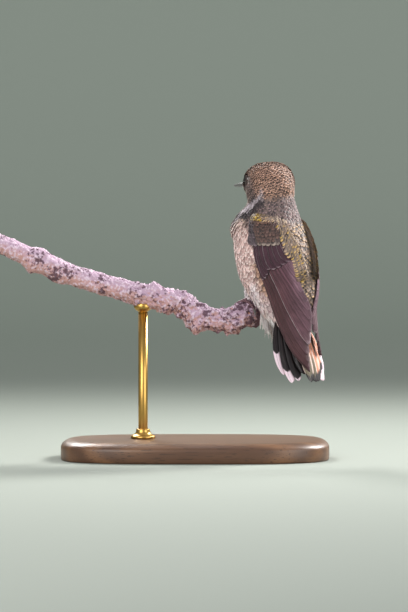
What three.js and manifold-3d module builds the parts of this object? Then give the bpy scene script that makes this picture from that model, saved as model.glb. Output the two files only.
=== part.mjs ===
// A female rufous hummingbird at life size, perched on a cut length of branch above a small display stand.
//
// Millimetres, +Z up. The origin is the centre of the stand's underside. The bird looks away towards +Y and a
// little to -X, with its back towards -Y. Its places are given as [front, left, up]: front and left are counted
// from the upright line that the head turns about, and up from the underside of the stand.

import * as THREE from 'three';
import { mergeVertices } from 'three/addons/utils/BufferGeometryUtils.js';
import Module from 'manifold-3d';

const wasm = await Module();
wasm.setup();

// ---------------------------------------------------------------- driving dimensions

const PARTING = 0.12; // gap between two pieces that meet
const RING = 20; // corners round a section of the body
const STEPS = 2; // sections to each station of the body

const TURN_X = 20.8; // where the upright line stands that the head turns about
const TURN_Y = -1.5;
const TRUNK_HEADING = 48; // degrees from +Y towards -X
const HEAD_HEADING = 23.7;

const BILL_LENGTH = 17;
const BILL_BASE = [7.55, 0, 75.35];
const BILL_BASE_RADIUS = 0.85;
const BILL_TIP_RADIUS = 0.3;
const BILL_DROOP = 1.5; // how far the tip hangs below its base

const EYE_RADIUS = 1.65;
const EYE_PLACE = [2.5, 5.2, 77.0];

const TAIL_ROOT = [-6.6, 0, 45.9];
const TAIL_PITCH = 71; // degrees below level
const TAIL_DEFLECTION = -1.4; // the fan's middle at its tips, to the left
const TAIL_THICKNESS = 0.55;
const TAIL_START = 11; // where the solid quills begin, from the root

const FOOT_PLACE = [6.6, 2.25]; // front of the turning line, and beside the midline
const TOE_RADIUS = 0.5;
const CLAW_RADIUS = 0.2;
const CLAW_START = 0.72; // share of the toe's length
const TOE_SPREAD = 1.25; // from the middle toe's end to its neighbours' ends
const TARSUS_RADIUS = 0.55;
const THIGH_TOP = [2.6, 3.6, 48.4];
const THIGH_END = [5.3, 2.7, 45.3];
const THIGH_RADIUS = 2.3;

const BRANCH_RADIUS = 2.85;

const BASE_LENGTH = 74;
const BASE_DEPTH = 44;
const BASE_SQUARENESS = 3.2; // the power of its outline: 2 is an ellipse, and more is squarer
const BASE_PROFILE = [ // [inset, up]
  [0.5, 0], [0, 0.5], [0, 3.3], [0.3, 4.1], [1.1, 4.8], [2.2, 5.3], [3.6, 5.5],
];
const COLLAR_PROFILE = [ // [radius, up]
  [3.4, 0], [3.4, 0.7], [2.9, 1.2], [2.1, 1.5], [1.9, 2.6],
];
const ROD_RADIUS = 1.3;
const ROD_SHARE = 0.545; // where on the branch's length the rod stands under it
const SADDLE_RADIUS = 2.5;
const SADDLE_HEIGHT = 3.2;

// The body's stations from bill to tail. back and belly are the outline's [front, up] at that station, half is
// its half width, and turn goes from 0, where it lies with the head, to 1, where it lies with the trunk.
const STATIONS = [
  { back: [7.4, 76.6], belly: [7.3, 74.9], half: 0.95, turn: 0 },
  { back: [6.3, 78.2], belly: [6.7, 74.0], half: 2.7, turn: 0 },
  { back: [4.6, 80.4], belly: [6.1, 73.0], half: 5.3, turn: 0 },
  { back: [1.6, 81.7], belly: [5.8, 72.2], half: 6.4, turn: 0 },
  { back: [-2.2, 81.6], belly: [5.8, 71.5], half: 6.6, turn: 0 },
  { back: [-5.3, 79.5], belly: [6.0, 70.8], half: 6.65, turn: 0 },
  { back: [-6.8, 76.2], belly: [6.7, 70.0], half: 6.3, turn: 0.08 },
  { back: [-6.9, 73.2], belly: [8.0, 68.8], half: 6.2, turn: 0.3 },
  { back: [-7.3, 70.4], belly: [10.2, 66.8], half: 7.0, turn: 0.65 },
  { back: [-8.2, 67.4], belly: [11.8, 63.8], half: 7.9, turn: 0.92 },
  { back: [-9.6, 64.0], belly: [10.9, 59.6], half: 8.6, turn: 1 },
  { back: [-11.0, 60.0], belly: [9.7, 55.4], half: 9.5, turn: 1 },
  { back: [-12.4, 55.6], belly: [8.2, 51.0], half: 9.9, turn: 1 },
  { back: [-13.5, 51.0], belly: [5.9, 46.9], half: 9.6, turn: 1 },
  { back: [-14.1, 46.6], belly: [3.2, 43.2], half: 8.5, turn: 1 },
  { back: [-13.8, 42.6], belly: [0.4, 40.0], half: 7.2, turn: 1 },
  { back: [-13.2, 39.2], belly: [-2.6, 37.2], half: 6.0, turn: 1 },
  { back: [-12.8, 36.4], belly: [-5.2, 35.0], half: 4.8, turn: 1 },
  { back: [-12.2, 33.8], belly: [-7.4, 33.0], half: 3.2, turn: 1 },
];
const HEAD_END = 6.4; // the stations where the body parts into its nodes
const NECK_END = 8.6;
const SECTION_POWER = 2.25; // 2 is an ellipse, and more is squarer

// The folded wings' edges from wrist to tip, as [front, left, up].
const LEFT_WING = {
  leading: [
    [0.4, 9.2, 66.6], [-2.6, 11.0, 55], [-6.3, 9.7, 46.5], [-8.3, 7.2, 38.5], [-12.0, 5.0, 30.3],
    [-15.2, 1.2, 24.6],
  ],
  trailing: [
    [-7.2, 5.6, 66.0], [-12.0, 4.4, 56.0], [-13.9, 3.4, 49.0], [-14.7, -0.3, 41.8], [-14.8, 0.2, 32],
    [-15.4, 0.9, 24.9],
  ],
};
const RIGHT_WING = {
  leading: [
    [0.4, -8.9, 66.0], [-2.6, -10.8, 55], [-6.0, -10.4, 46.5], [-8.2, -9.6, 38.5], [-10.1, -8.5, 33],
    [-11.8, -7.2, 28.6],
  ],
  trailing: [
    [-6.2, -6.0, 65.4], [-11.2, -5.0, 56.0], [-13.5, -3.0, 49.0], [-13.6, -1.4, 41.8], [-12.9, -3.2, 35],
    [-12.0, -6.9, 29.0],
  ],
};
const WING_CAMBER = 1.1;
const WING_COVERTS_END = 0.33; // share of the wing's length under its coverts
const WING_SECONDARIES_END = 0.56;
const WING_THICKNESS = 0.62;
const WING_SHOULDER = 0.3; // extra thickness over the arm
const WING_CLEARANCE = 0.48; // between the body and the wings
const WING_ROUNDING = 0.09; // share of the length where the wrist's end rounds off

// Each half of the tail: its feathers' places at the tips, lengths, half widths and depth under the middle pair.
const TAIL_FEATHERS = [
  { tip: 1.1, length: 27.0, half: 2.4, depth: 0 },
  { tip: 2.8, length: 25.8, half: 2.9, depth: 0.3 },
  { tip: 4.8, length: 25.0, half: 2.9, depth: 0.95 },
  { tip: 7.2, length: 25.4, half: 2.3, depth: 1.2 },
  { tip: 8.7, length: 22.4, half: 1.6, depth: 1.45 },
];
const TAIL_MIDDLE_PAIRS = 2;
const TAIL_RIGHT_SPREAD = 0.75; // the right half is fanned less than the left

// The branch's middle line as [x, y, up], from its cut end to the twig end under the feet.
const BRANCH_LINE = [
  [-55.6, 1.5, 60.1], [-45, 0.4, 55.4], [-36, 1.2, 51.4], [-26, 1.8, 48.2], [-14, 0.4, 44.9],
  [-5, -0.6, 43.2], [1, -0.8, 39.4], [7, -0.9, 38.3], [11.5, -0.3, 38.9], [14.3, 1.6, 40.1],
  [16.4, 4.2, 40.3], [17.6, 6.4, 40.2],
];
// Its knots as [share of the length, round it in degrees, height].
const BRANCH_KNOTS = [
  [0.27, 250, 1.1], [0.24, 80, 0.7], [0.47, 70, 0.5], [0.585, 80, 0.9], [0.63, 265, 0.6],
  [0.755, 250, 1.6], [0.80, 95, 0.5], [0.86, 270, 0.9], [0.95, 260, 1.2], [0.12, 85, 0.5],
  [0.99, 200, 0.5],
];

// ---------------------------------------------------------------- finishes

const paint = (color, roughness, metalness = 0) =>
  new THREE.MeshStandardMaterial({ color, roughness, metalness });

const finish = {
  crown: paint('#8a6f5e', 0.75),
  back: paint('#7d7048', 0.6),
  flank: paint('#cbb0a3', 0.85),
  wing: paint('#523b41', 0.6),
  coverts: paint('#5e4a49', 0.65),
  tail: paint('#241a1d', 0.6),
  horn: paint('#1e1c1d', 0.35),
  eye: paint('#0c0a0a', 0.05),
  foot: paint('#3a2024', 0.6),
  bark: paint('#8d7a7c', 0.95),
  walnut: paint('#5d3f2a', 0.45),
  brass: paint('#b08d4c', 0.3, 1),
};

// ---------------------------------------------------------------- geometry helpers

const radians = THREE.MathUtils.degToRad;
const lerp = THREE.MathUtils.lerp;

// The bird's front and left directions where it is turned to this heading.
function facing(heading) {
  const turn = radians(heading);
  return {
    front: new THREE.Vector3(-Math.sin(turn), Math.cos(turn), 0),
    left: new THREE.Vector3(-Math.cos(turn), -Math.sin(turn), 0),
  };
}

function place([front, left, up], heading = TRUNK_HEADING) {
  const axes = facing(heading);
  return new THREE.Vector3(TURN_X, TURN_Y, up)
    .addScaledVector(axes.front, front)
    .addScaledVector(axes.left, left);
}

// Smooth curves through these places, for route in the trunk's frame.
const smooth = (places) => new THREE.CatmullRomCurve3(places, false, 'centripetal');
const route = (places) => smooth(places.map((spot) => place(spot)));

// A closed skin over equal rings of points, with a flat end on the first and the last.
function skin(rings) {
  const count = rings[0].length;
  const points = rings.flat();
  const faces = [];
  for (let i = 0; i + 1 < rings.length; i++) {
    for (let j = 0; j < count; j++) {
      const a = i * count + j;
      const b = i * count + ((j + 1) % count);
      faces.push(a, b, b + count, a, b + count, a + count);
    }
  }
  for (const [first, flip] of [[0, true], [(rings.length - 1) * count, false]]) {
    const middle = points.length;
    const centre = new THREE.Vector3();
    for (let j = 0; j < count; j++) centre.addScaledVector(points[first + j], 1 / count);
    points.push(centre);
    for (let j = 0; j < count; j++) {
      const a = first + j;
      const b = first + ((j + 1) % count);
      faces.push(...(flip ? [b, a, middle] : [a, b, middle]));
    }
  }
  const geometry = new THREE.BufferGeometry().setFromPoints(points);
  geometry.setIndex(faces);
  return outward(geometry);
}

// Six times the volume inside, negative where the faces point inwards.
function signedVolume(geometry) {
  const spots = geometry.attributes.position;
  const index = geometry.index.array;
  const [a, b, c] = [new THREE.Vector3(), new THREE.Vector3(), new THREE.Vector3()];
  let sum = 0;
  for (let i = 0; i < index.length; i += 3) {
    a.fromBufferAttribute(spots, index[i]);
    b.fromBufferAttribute(spots, index[i + 1]);
    c.fromBufferAttribute(spots, index[i + 2]);
    sum += a.dot(b.cross(c));
  }
  return sum;
}

function outward(geometry) {
  if (signedVolume(geometry) < 0) {
    const index = geometry.index.array;
    for (let i = 0; i < index.length; i += 3) {
      [index[i + 1], index[i + 2]] = [index[i + 2], index[i + 1]];
    }
  }
  return geometry;
}

function solid(geometry) {
  const bare = geometry.clone();
  bare.deleteAttribute('normal');
  bare.deleteAttribute('uv');
  const merged = mergeVertices(bare, 1e-4);
  return new wasm.Manifold(new wasm.Mesh({
    numProp: 3,
    vertProperties: new Float32Array(merged.attributes.position.array),
    triVerts: new Uint32Array(merged.index.array),
  }));
}

function surface(body) {
  const { vertProperties, triVerts } = body.getMesh();
  const geometry = new THREE.BufferGeometry();
  geometry.setAttribute('position', new THREE.BufferAttribute(vertProperties, 3));
  geometry.setIndex(new THREE.BufferAttribute(triVerts, 1));
  return geometry;
}

// Joins solids, takes others away, and keeps the largest piece that is left.
function carve(kept, removed = []) {
  let body = kept.map(solid).reduce((sum, next) => sum.add(next));
  for (const tool of removed) body = body.subtract(solid(tool));
  const pieces = body.decompose();
  return surface(pieces.reduce((best, next) => (next.volume() > best.volume() ? next : best)));
}

// A ring of points round a centre, in the plane of two half axes.
function ring(centre, across, upward, corners, power = 2) {
  const soften = (x) => Math.sign(x) * Math.abs(x) ** (2 / power);
  return Array.from({ length: corners }, (_, j) => {
    const angle = (2 * Math.PI * j) / corners;
    return centre.clone()
      .addScaledVector(across, soften(Math.sin(angle)))
      .addScaledVector(upward, soften(Math.cos(angle)));
  });
}

// A round tube along a curve. radius gives its size at each share of the length.
function tube(curve, radius, steps, corners) {
  const frames = curve.computeFrenetFrames(steps, false);
  return skin(Array.from({ length: steps + 1 }, (_, i) => {
    const share = i / steps;
    const size = radius(share);
    return ring(
      curve.getPointAt(share),
      frames.normals[i].clone().multiplyScalar(size),
      frames.binormals[i].clone().multiplyScalar(size),
      corners,
    );
  }));
}

// ---------------------------------------------------------------- head, neck and trunk

const backLine = new THREE.CatmullRomCurve3(
  STATIONS.map(({ back, half }) => new THREE.Vector3(...back, half)), false, 'catmullrom', 0.5);
const bellyLine = new THREE.CatmullRomCurve3(
  STATIONS.map(({ belly, turn }) => new THREE.Vector3(...belly, turn)), false, 'catmullrom', 0.5);
const LAST = STATIONS.length - 1;

// The middle, half width and half height of the body's section at a station, which need not be a whole number.
function sectionFrame(station) {
  const back = backLine.getPoint(station / LAST);
  const belly = bellyLine.getPoint(station / LAST);
  const heading = lerp(HEAD_HEADING, TRUNK_HEADING, belly.z);
  const top = place([back.x, 0, back.y], heading);
  const bottom = place([belly.x, 0, belly.y], heading);
  return {
    centre: top.clone().add(bottom).multiplyScalar(0.5),
    upward: top.clone().sub(bottom).multiplyScalar(0.5),
    left: facing(heading).left,
    half: back.z,
  };
}

function section(station) {
  const { centre, upward, left, half } = sectionFrame(station);
  return ring(centre, left.multiplyScalar(half), upward, RING, SECTION_POWER);
}

// Where a point lies in the body's sections: 0 on the middle line, 1 on the skin and more outside.
function depthInBody(spot) {
  let [low, high] = [NECK_END - 1, LAST];
  let frame;
  for (let i = 0; i < 14; i++) {
    const station = (low + high) / 2;
    frame = sectionFrame(station);
    const tailward = frame.upward.clone().cross(frame.left).dot(spot.clone().sub(frame.centre));
    if (tailward > 0) low = station;
    else high = station;
  }
  const arm = spot.clone().sub(frame.centre);
  const across = Math.abs(arm.dot(frame.left)) / frame.half;
  const height = Math.abs(arm.dot(frame.upward)) / frame.upward.lengthSq();
  return (across ** SECTION_POWER + height ** SECTION_POWER) ** (1 / SECTION_POWER);
}

function bodyPiece(from, to) {
  const count = Math.ceil((to - from) * STEPS);
  return skin(Array.from({ length: count + 1 }, (_, i) => section(lerp(from, to, i / count))));
}

// ---------------------------------------------------------------- bill and eyes

// One half of the bill: side is 1 for the upper and -1 for the lower.
function billHalf(side, length) {
  const { front, left } = facing(HEAD_HEADING);
  const up = new THREE.Vector3(0, 0, 1);
  const steps = 9;
  return skin(Array.from({ length: steps + 1 }, (_, i) => {
    const share = i / steps;
    const size = lerp(BILL_BASE_RADIUS, BILL_TIP_RADIUS, share ** 0.6);
    const middle = place(BILL_BASE, HEAD_HEADING)
      .addScaledVector(front, length * share)
      .addScaledVector(up, -BILL_DROOP * share ** 1.3 + side * PARTING / 4);
    const corners = 7;
    return Array.from({ length: corners }, (_, j) => {
      const angle = (Math.PI * j) / (corners - 1);
      return middle.clone()
        .addScaledVector(left, Math.cos(angle) * size)
        .addScaledVector(up, side * Math.sin(angle) * size);
    });
  }));
}

function ball(centre, radius) {
  const [rings, corners] = [7, 14];
  return skin(Array.from({ length: rings }, (_, i) => {
    const angle = lerp(0.22, Math.PI - 0.22, i / (rings - 1));
    const across = radius * Math.sin(angle);
    const middle = centre.clone().setZ(centre.z + radius * Math.cos(angle));
    return ring(middle, new THREE.Vector3(across, 0, 0), new THREE.Vector3(0, across, 0), corners);
  }));
}

// ---------------------------------------------------------------- wings

// A point on a folded wing: along from wrist 0 to tip 1, across from leading edge 0 to trailing edge 1, and lift
// outwards from the blade's middle. The blade bows outwards, and further where it has to clear the body.
function wingShape({ leading, trailing }) {
  const leadingEdge = route(leading);
  const trailingEdge = route(trailing);
  const side = Math.sign(leading[0][1]);
  return (along, across, lift) => {
    const a = leadingEdge.getPoint(along);
    const chord = trailingEdge.getPoint(along).sub(a);
    const out = chord.clone().cross(leadingEdge.getTangent(along)).multiplyScalar(-side).normalize();
    const bow = WING_CAMBER * 4 * across * (1 - across);
    const spot = a.addScaledVector(chord, across).addScaledVector(out, bow);
    const inner = wingThickness(along) / 2 + WING_CLEARANCE;
    let push = 0;
    while (push < 8 && depthInBody(spot.clone().addScaledVector(out, push - inner)) < 1) push += 0.1;
    return spot.addScaledVector(out, push + lift);
  };
}

// A length of a wing as a closed blade, rounded off at the wrist.
function wingPiece(shape, from, to) {
  const steps = Math.max(3, Math.round((to - from) * 22));
  const corners = 6;
  const rings = Array.from({ length: steps + 1 }, (_, i) => {
    const along = lerp(from, to, i / steps);
    const half = wingThickness(along) / 2;
    const beyond = Math.max(0, WING_ROUNDING - along) / (WING_ROUNDING + 0.01);
    const narrow = Math.sqrt(1 - beyond ** 2);
    const shares = Array.from({ length: corners }, (_, j) => j / (corners - 1));
    const thin = (share) => half * (0.5 + 0.5 * Math.sin(Math.PI * share) ** 0.5);
    const spot = (share, side) => shape(along, 0.5 + (share - 0.5) * narrow, side * thin(share));
    return [...shares.map((share) => spot(share, 1)), ...shares.reverse().map((share) => spot(share, -1))];
  });
  return skin(rings);
}

const wingThickness = (along) => WING_THICKNESS + WING_SHOULDER * Math.max(0, 1 - along / 0.4);

// ---------------------------------------------------------------- tail

// A tail feather as a thin blade that widens, then closes to its tip. grow makes it larger, to cut its seat with.
function tailFeather({ tip, length, half, depth }, side, grow = 0) {
  const pitch = radians(TAIL_PITCH);
  const { front, left } = facing(TRUNK_HEADING);
  const away = front.clone().multiplyScalar(-Math.cos(pitch)).setZ(-Math.sin(pitch));
  const dorsal = front.clone().multiplyScalar(-Math.sin(pitch)).setZ(Math.cos(pitch));
  const root = place(TAIL_ROOT);
  const steps = 8;
  return skin(Array.from({ length: steps + 1 }, (_, i) => {
    const share = lerp((TAIL_START - grow) / length, 1, i / steps);
    const fanned = (tip * Math.sin(share * 1.9)) / Math.sin(1.9);
    const spread = (side > 0 ? fanned : -fanned * TAIL_RIGHT_SPREAD) + TAIL_DEFLECTION * share;
    const outline = Math.min(1, 0.25 + 1.6 * share) * Math.sqrt(1 - share ** 7);
    const width = Math.max(0.25, half * outline) + grow;
    const droop = 0.008 * spread ** 2;
    const middle = root.clone()
      .addScaledVector(away, length * share)
      .addScaledVector(left, spread)
      .addScaledVector(dorsal, -depth - droop);
    const slope = dorsal.clone().multiplyScalar(TAIL_THICKNESS / 2 + grow);
    return ring(middle, left.clone().multiplyScalar(width), slope, 6, 3);
  }));
}

// ---------------------------------------------------------------- perch and feet

const branchCurve = smooth(BRANCH_LINE.map((spot) => new THREE.Vector3(...spot)));

// How far the bark stands from the middle line, at a share of the length and an angle round it.
function barkRadius(share, angle) {
  let size = BRANCH_RADIUS * (1 + 0.04 * Math.sin(37 * share) + 0.03 * Math.sin(2 * angle + 19 * share));
  for (const [spot, turn, height] of BRANCH_KNOTS) {
    const along = (share - spot) / 0.022;
    const round = Math.cos(angle - radians(turn));
    size += height * Math.exp(-(along ** 2)) * Math.max(0, round) ** 2;
  }
  return size;
}

// The unit directions across the branch at a share of its length: level, and upward.
function branchAxes(share) {
  const along = branchCurve.getTangentAt(share);
  const level = new THREE.Vector3(0, 0, 1).cross(along).normalize();
  return { along, level, upward: along.clone().cross(level).normalize() };
}

function branch(grow = 0) {
  const steps = 50;
  const corners = 12;
  return skin(Array.from({ length: steps + 1 }, (_, i) => {
    const share = i / steps;
    const { level, upward } = branchAxes(share);
    const middle = branchCurve.getPointAt(share);
    const end = share > 0.985 ? 0.8 : 1;
    return Array.from({ length: corners }, (_, j) => {
      const angle = (2 * Math.PI * j) / corners;
      const size = barkRadius(share, angle) * end + grow;
      return middle.clone()
        .addScaledVector(level, Math.cos(angle) * size)
        .addScaledVector(upward, Math.sin(angle) * size);
    });
  }));
}

// The share of the branch's length that is nearest to a place, seen from above.
function shareUnder({ x, y }) {
  const shares = Array.from({ length: 401 }, (_, i) => i / 400);
  const apart = (share) => {
    const spot = branchCurve.getPointAt(share);
    return Math.hypot(spot.x - x, spot.y - y);
  };
  return shares.reduce((best, share) => (apart(share) < apart(best) ? share : best));
}

// A toe curls round the branch, from and to being degrees from its top towards the bird's front. offset is where
// its end lies along the branch.
function toe(share, from, to, offset) {
  const { along, level, upward } = branchAxes(share);
  const ahead = level.multiplyScalar(Math.sign(level.dot(facing(TRUNK_HEADING).front)));
  const centre = branchCurve.getPointAt(share);
  const reach = BRANCH_RADIUS * 1.1 + TOE_RADIUS + PARTING;
  const places = Array.from({ length: 7 }, (_, i) => {
    const angle = radians(lerp(from, to, i / 6));
    return centre.clone()
      .addScaledVector(upward, Math.cos(angle) * reach)
      .addScaledVector(ahead, Math.sin(angle) * reach)
      .addScaledVector(along, offset * Math.sqrt(i / 6));
  });
  const size = (part) => lerp(TOE_RADIUS, CLAW_RADIUS, Math.max(0, part - CLAW_START) / (1 - CLAW_START));
  return tube(smooth(places), size, 6, 5);
}

function foot(side) {
  const spot = place([FOOT_PLACE[0], side * FOOT_PLACE[1], 0]);
  const share = shareUnder(spot);
  const top = branchCurve.getPointAt(share)
    .addScaledVector(branchAxes(share).upward, BRANCH_RADIUS * 1.1 + TOE_RADIUS + PARTING);
  const ankle = place([THIGH_END[0], side * THIGH_END[1], THIGH_END[2]]);
  const start = ankle.clone().addScaledVector(top.clone().sub(ankle).normalize(), 3 * PARTING);
  const middle = start.clone().lerp(top, 0.55).add(place([-0.3, 0, 0]).sub(place([0, 0, 0])));
  return carve([
    tube(smooth([start, middle, top]), () => TARSUS_RADIUS, 3, 6),
    toe(share, 0, 118, -TOE_SPREAD),
    toe(share, 0, 128, 0.1),
    toe(share, 0, 112, TOE_SPREAD),
    toe(share, 10, -98, 0),
  ]);
}

function thigh(side, grow = 0) {
  const top = place([THIGH_TOP[0], side * THIGH_TOP[1], THIGH_TOP[2]]);
  const end = place([THIGH_END[0], side * THIGH_END[1], THIGH_END[2]]);
  const swell = (part) => lerp(THIGH_RADIUS, TARSUS_RADIUS + 0.25, part ** 1.4) + grow;
  return tube(smooth([top, top.clone().lerp(end, 0.5), end]), swell, 5, 8);
}

// ---------------------------------------------------------------- stand

function standBase() {
  return skin(BASE_PROFILE.map(([inset, up]) => ring(
    new THREE.Vector3(0, 0, up),
    new THREE.Vector3(BASE_LENGTH / 2 - inset, 0, 0),
    new THREE.Vector3(0, BASE_DEPTH / 2 - inset, 0),
    36,
    BASE_SQUARENESS,
  )));
}

// A turned piece on an upright axis, from its profile of [radius, up].
function turned(profile, { x, y, z }, corners = 20) {
  return skin(profile.map(([radius, up]) => ring(
    new THREE.Vector3(x, y, z + up),
    new THREE.Vector3(radius, 0, 0),
    new THREE.Vector3(0, radius, 0),
    corners,
  )));
}

// ---------------------------------------------------------------- assembly

const bird = new THREE.Group();

function add(name, geometry, material) {
  const mesh = new THREE.Mesh(geometry, material.clone());
  mesh.name = name;
  bird.add(mesh);
}

const eyes = [1, -1].map((side) => place([EYE_PLACE[0], side * EYE_PLACE[1], EYE_PLACE[2]], HEAD_HEADING));
const sockets = eyes.map((spot) => ball(spot, EYE_RADIUS + PARTING));
add('head', carve([bodyPiece(0, HEAD_END)], sockets), finish.crown);
add('eye_left', ball(eyes[0], EYE_RADIUS), finish.eye);
add('eye_right', ball(eyes[1], EYE_RADIUS), finish.eye);
add('bill_upper', billHalf(1, BILL_LENGTH), finish.horn);
add('bill_lower', billHalf(-1, BILL_LENGTH * 0.98), finish.horn);
add('neck', bodyPiece(HEAD_END + PARTING, NECK_END), finish.crown);

const middlePairs = TAIL_FEATHERS.slice(0, TAIL_MIDDLE_PAIRS);
const outerPairs = TAIL_FEATHERS.slice(TAIL_MIDDLE_PAIRS);
const fan = (pairs, sides, grow) =>
  sides.flatMap((side) => pairs.map((feather) => tailFeather(feather, side, grow)));
const middleSeat = fan(middlePairs, [1, -1], PARTING);
add('tail_middle', carve(fan(middlePairs, [1, -1], 0)), finish.back);
add('tail_left', carve(fan(outerPairs, [1], 0), middleSeat), finish.tail);
add('tail_right', carve(fan(outerPairs, [-1], 0), middleSeat), finish.tail);

const seats = [...fan(TAIL_FEATHERS, [1, -1], PARTING), thigh(1, PARTING), thigh(-1, PARTING)];
add('trunk', carve([bodyPiece(NECK_END + PARTING / 2, LAST)], seats), finish.flank);

for (const [name, wing] of [['left', LEFT_WING], ['right', RIGHT_WING]]) {
  const shape = wingShape(wing);
  const joint = 0.005;
  add(`wing_${name}_coverts`, wingPiece(shape, 0, WING_COVERTS_END - joint), finish.coverts);
  add(`wing_${name}_secondaries`,
    wingPiece(shape, WING_COVERTS_END, WING_SECONDARIES_END - joint), finish.wing);
  add(`wing_${name}_primaries`, wingPiece(shape, WING_SECONDARIES_END, 1), finish.wing);
}

for (const [name, side] of [['left', 1], ['right', -1]]) {
  add(`thigh_${name}`, thigh(side), finish.flank);
  add(`foot_${name}`, foot(side), finish.foot);
}

add('perch_branch', branch(), finish.bark);

const held = branchCurve.getPointAt(ROD_SHARE);
const floor = BASE_PROFILE.at(-1)[1];
const rodBottom = floor + COLLAR_PROFILE.at(-1)[1] + 2 * PARTING;
const saddleBottom = held.z - BRANCH_RADIUS - SADDLE_HEIGHT / 2;
const rodHeight = saddleBottom - PARTING - rodBottom;
const saddleProfile = [[ROD_RADIUS, 0], [SADDLE_RADIUS, 1], [SADDLE_RADIUS, SADDLE_HEIGHT]];
const at = (up) => new THREE.Vector3(held.x, held.y, up);
add('stand_base', standBase(), finish.walnut);
add('stand_collar', turned(COLLAR_PROFILE, at(floor + PARTING)), finish.brass);
add('stand_rod', turned([[ROD_RADIUS, 0], [ROD_RADIUS, rodHeight]], at(rodBottom)), finish.brass);
add('stand_saddle', carve([turned(saddleProfile, at(saddleBottom))], [branch(PARTING)]), finish.brass);

export default bird;
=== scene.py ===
# A female rufous hummingbird at life size, perched on a cut length of branch above a small walnut and brass stand.
# Sizes are in millimetres until a mesh is made. Places on the bird are (front, left, up), counted from the upright
# line that the head turns about.
from math import ceil, copysign, cos, exp, pi, radians, sin, sqrt

import bmesh
import bpy
import numpy as np
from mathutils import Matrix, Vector, noise
from mathutils.kdtree import KDTree


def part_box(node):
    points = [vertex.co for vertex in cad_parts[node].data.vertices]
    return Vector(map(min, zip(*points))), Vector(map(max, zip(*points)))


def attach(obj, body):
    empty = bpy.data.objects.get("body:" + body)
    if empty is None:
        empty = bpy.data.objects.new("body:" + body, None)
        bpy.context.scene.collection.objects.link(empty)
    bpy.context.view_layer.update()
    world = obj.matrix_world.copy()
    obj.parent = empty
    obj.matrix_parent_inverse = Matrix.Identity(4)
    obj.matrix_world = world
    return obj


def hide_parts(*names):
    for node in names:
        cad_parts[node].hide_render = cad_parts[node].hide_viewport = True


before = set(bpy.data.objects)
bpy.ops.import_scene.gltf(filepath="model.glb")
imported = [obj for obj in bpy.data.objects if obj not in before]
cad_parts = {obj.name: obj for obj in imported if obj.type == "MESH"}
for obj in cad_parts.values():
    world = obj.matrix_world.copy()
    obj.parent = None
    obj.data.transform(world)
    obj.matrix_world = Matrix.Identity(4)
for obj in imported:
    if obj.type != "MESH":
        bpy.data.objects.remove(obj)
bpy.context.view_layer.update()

chance = np.random.default_rng(7)

# ---------------------------------------------------------------- body and skin
# The bird's body from bill to tail is one skin over muscle, with the thighs growing out of it. It lies under the
# coat by the depth of the feathers. The stations are its outline: [front, up] along the back and the belly, half
# its width, and how far it has turned from the head's heading to the trunk's.

TURNING_LINE = np.array([20.8, -1.5, 0])
HEAD_HEADING, TRUNK_HEADING = 23.7, 48
STATIONS = [
    ((7.4, 76.6), (7.3, 74.9), 0.95, 0), ((6.3, 78.2), (6.7, 74.0), 2.7, 0), ((4.6, 80.4), (6.1, 73.0), 5.3, 0),
    ((1.6, 81.7), (5.8, 72.2), 6.4, 0), ((-2.2, 81.6), (5.8, 71.5), 6.6, 0), ((-5.3, 79.5), (6.0, 70.8), 6.65, 0),
    ((-6.8, 76.2), (6.7, 70.0), 6.3, 0.08), ((-6.9, 73.2), (8.0, 68.8), 6.2, 0.3),
    ((-7.3, 70.4), (10.2, 66.8), 7.0, 0.65), ((-8.2, 67.4), (11.8, 63.8), 7.9, 0.92),
    ((-9.6, 64.0), (10.9, 59.6), 8.6, 1), ((-11.0, 60.0), (9.7, 55.4), 9.5, 1), ((-12.4, 55.6), (8.2, 51.0), 9.9, 1),
    ((-13.5, 51.0), (5.9, 46.9), 9.6, 1), ((-14.1, 46.6), (3.2, 43.2), 8.5, 1), ((-13.8, 42.6), (0.4, 40.0), 7.2, 1),
    ((-13.2, 39.2), (-2.6, 37.2), 6.0, 1), ((-12.8, 36.4), (-5.2, 35.0), 4.8, 1), ((-12.2, 33.8), (-7.4, 33.0), 3.2, 1),
]
LAST = len(STATIONS) - 1
SECTION_POWER = 2.25  # 2 is an ellipse, and more is squarer
THIGH_TOP, THIGH_END = (2.6, 3.6, 48.4), (5.3, 2.7, 45.3)
THIGH_RADIUS, SHANK_RADIUS = 2.3, 0.5
SKIN_DEPTH = 0.5


def facing(heading):
    turn = radians(heading)
    return np.array([-sin(turn), cos(turn), 0]), np.array([-cos(turn), -sin(turn), 0])


def unit(arrow):
    return arrow / np.linalg.norm(arrow)


def circle(count):
    """Angles set evenly round a circle."""
    return np.linspace(0, 2 * pi, count, endpoint=False)


def place(spot, heading=TRUNK_HEADING):
    front, left = facing(heading)
    return TURNING_LINE + front * spot[0] + left * spot[1] + np.array([0, 0, spot[2]])


def spline(points, even=False):
    """A smooth curve through the points. even spaces its knots evenly, and otherwise they follow the distances."""
    knots = np.array(points, float)
    knots = np.vstack([2 * knots[0] - knots[1], knots, 2 * knots[-1] - knots[-2]])

    def at(share):
        run = (len(knots) - 3) * min(max(share, 0), 1)
        first = min(int(run), len(knots) - 4)
        t = run - first
        a, b, c, d = knots[first:first + 4]
        if even:
            out, into = (c - a) / 2, (d - b) / 2
        else:
            x, y, z = [max(np.sum((p - q) ** 2) ** 0.25, 1e-6) for p, q in ((b, a), (c, b), (d, c))]
            out = ((b - a) / x - (c - a) / (x + y) + (c - b) / y) * y
            into = ((c - b) / y - (d - b) / (y + z) + (d - c) / z) * y
        return b + out * t + (3 * c - 3 * b - 2 * out - into) * t * t + (2 * b - 2 * c + out + into) * t ** 3

    return at


back_line = spline([(*back, half) for back, belly, half, turn in STATIONS], even=True)
belly_line = spline([(*belly, turn) for back, belly, half, turn in STATIONS], even=True)


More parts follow.
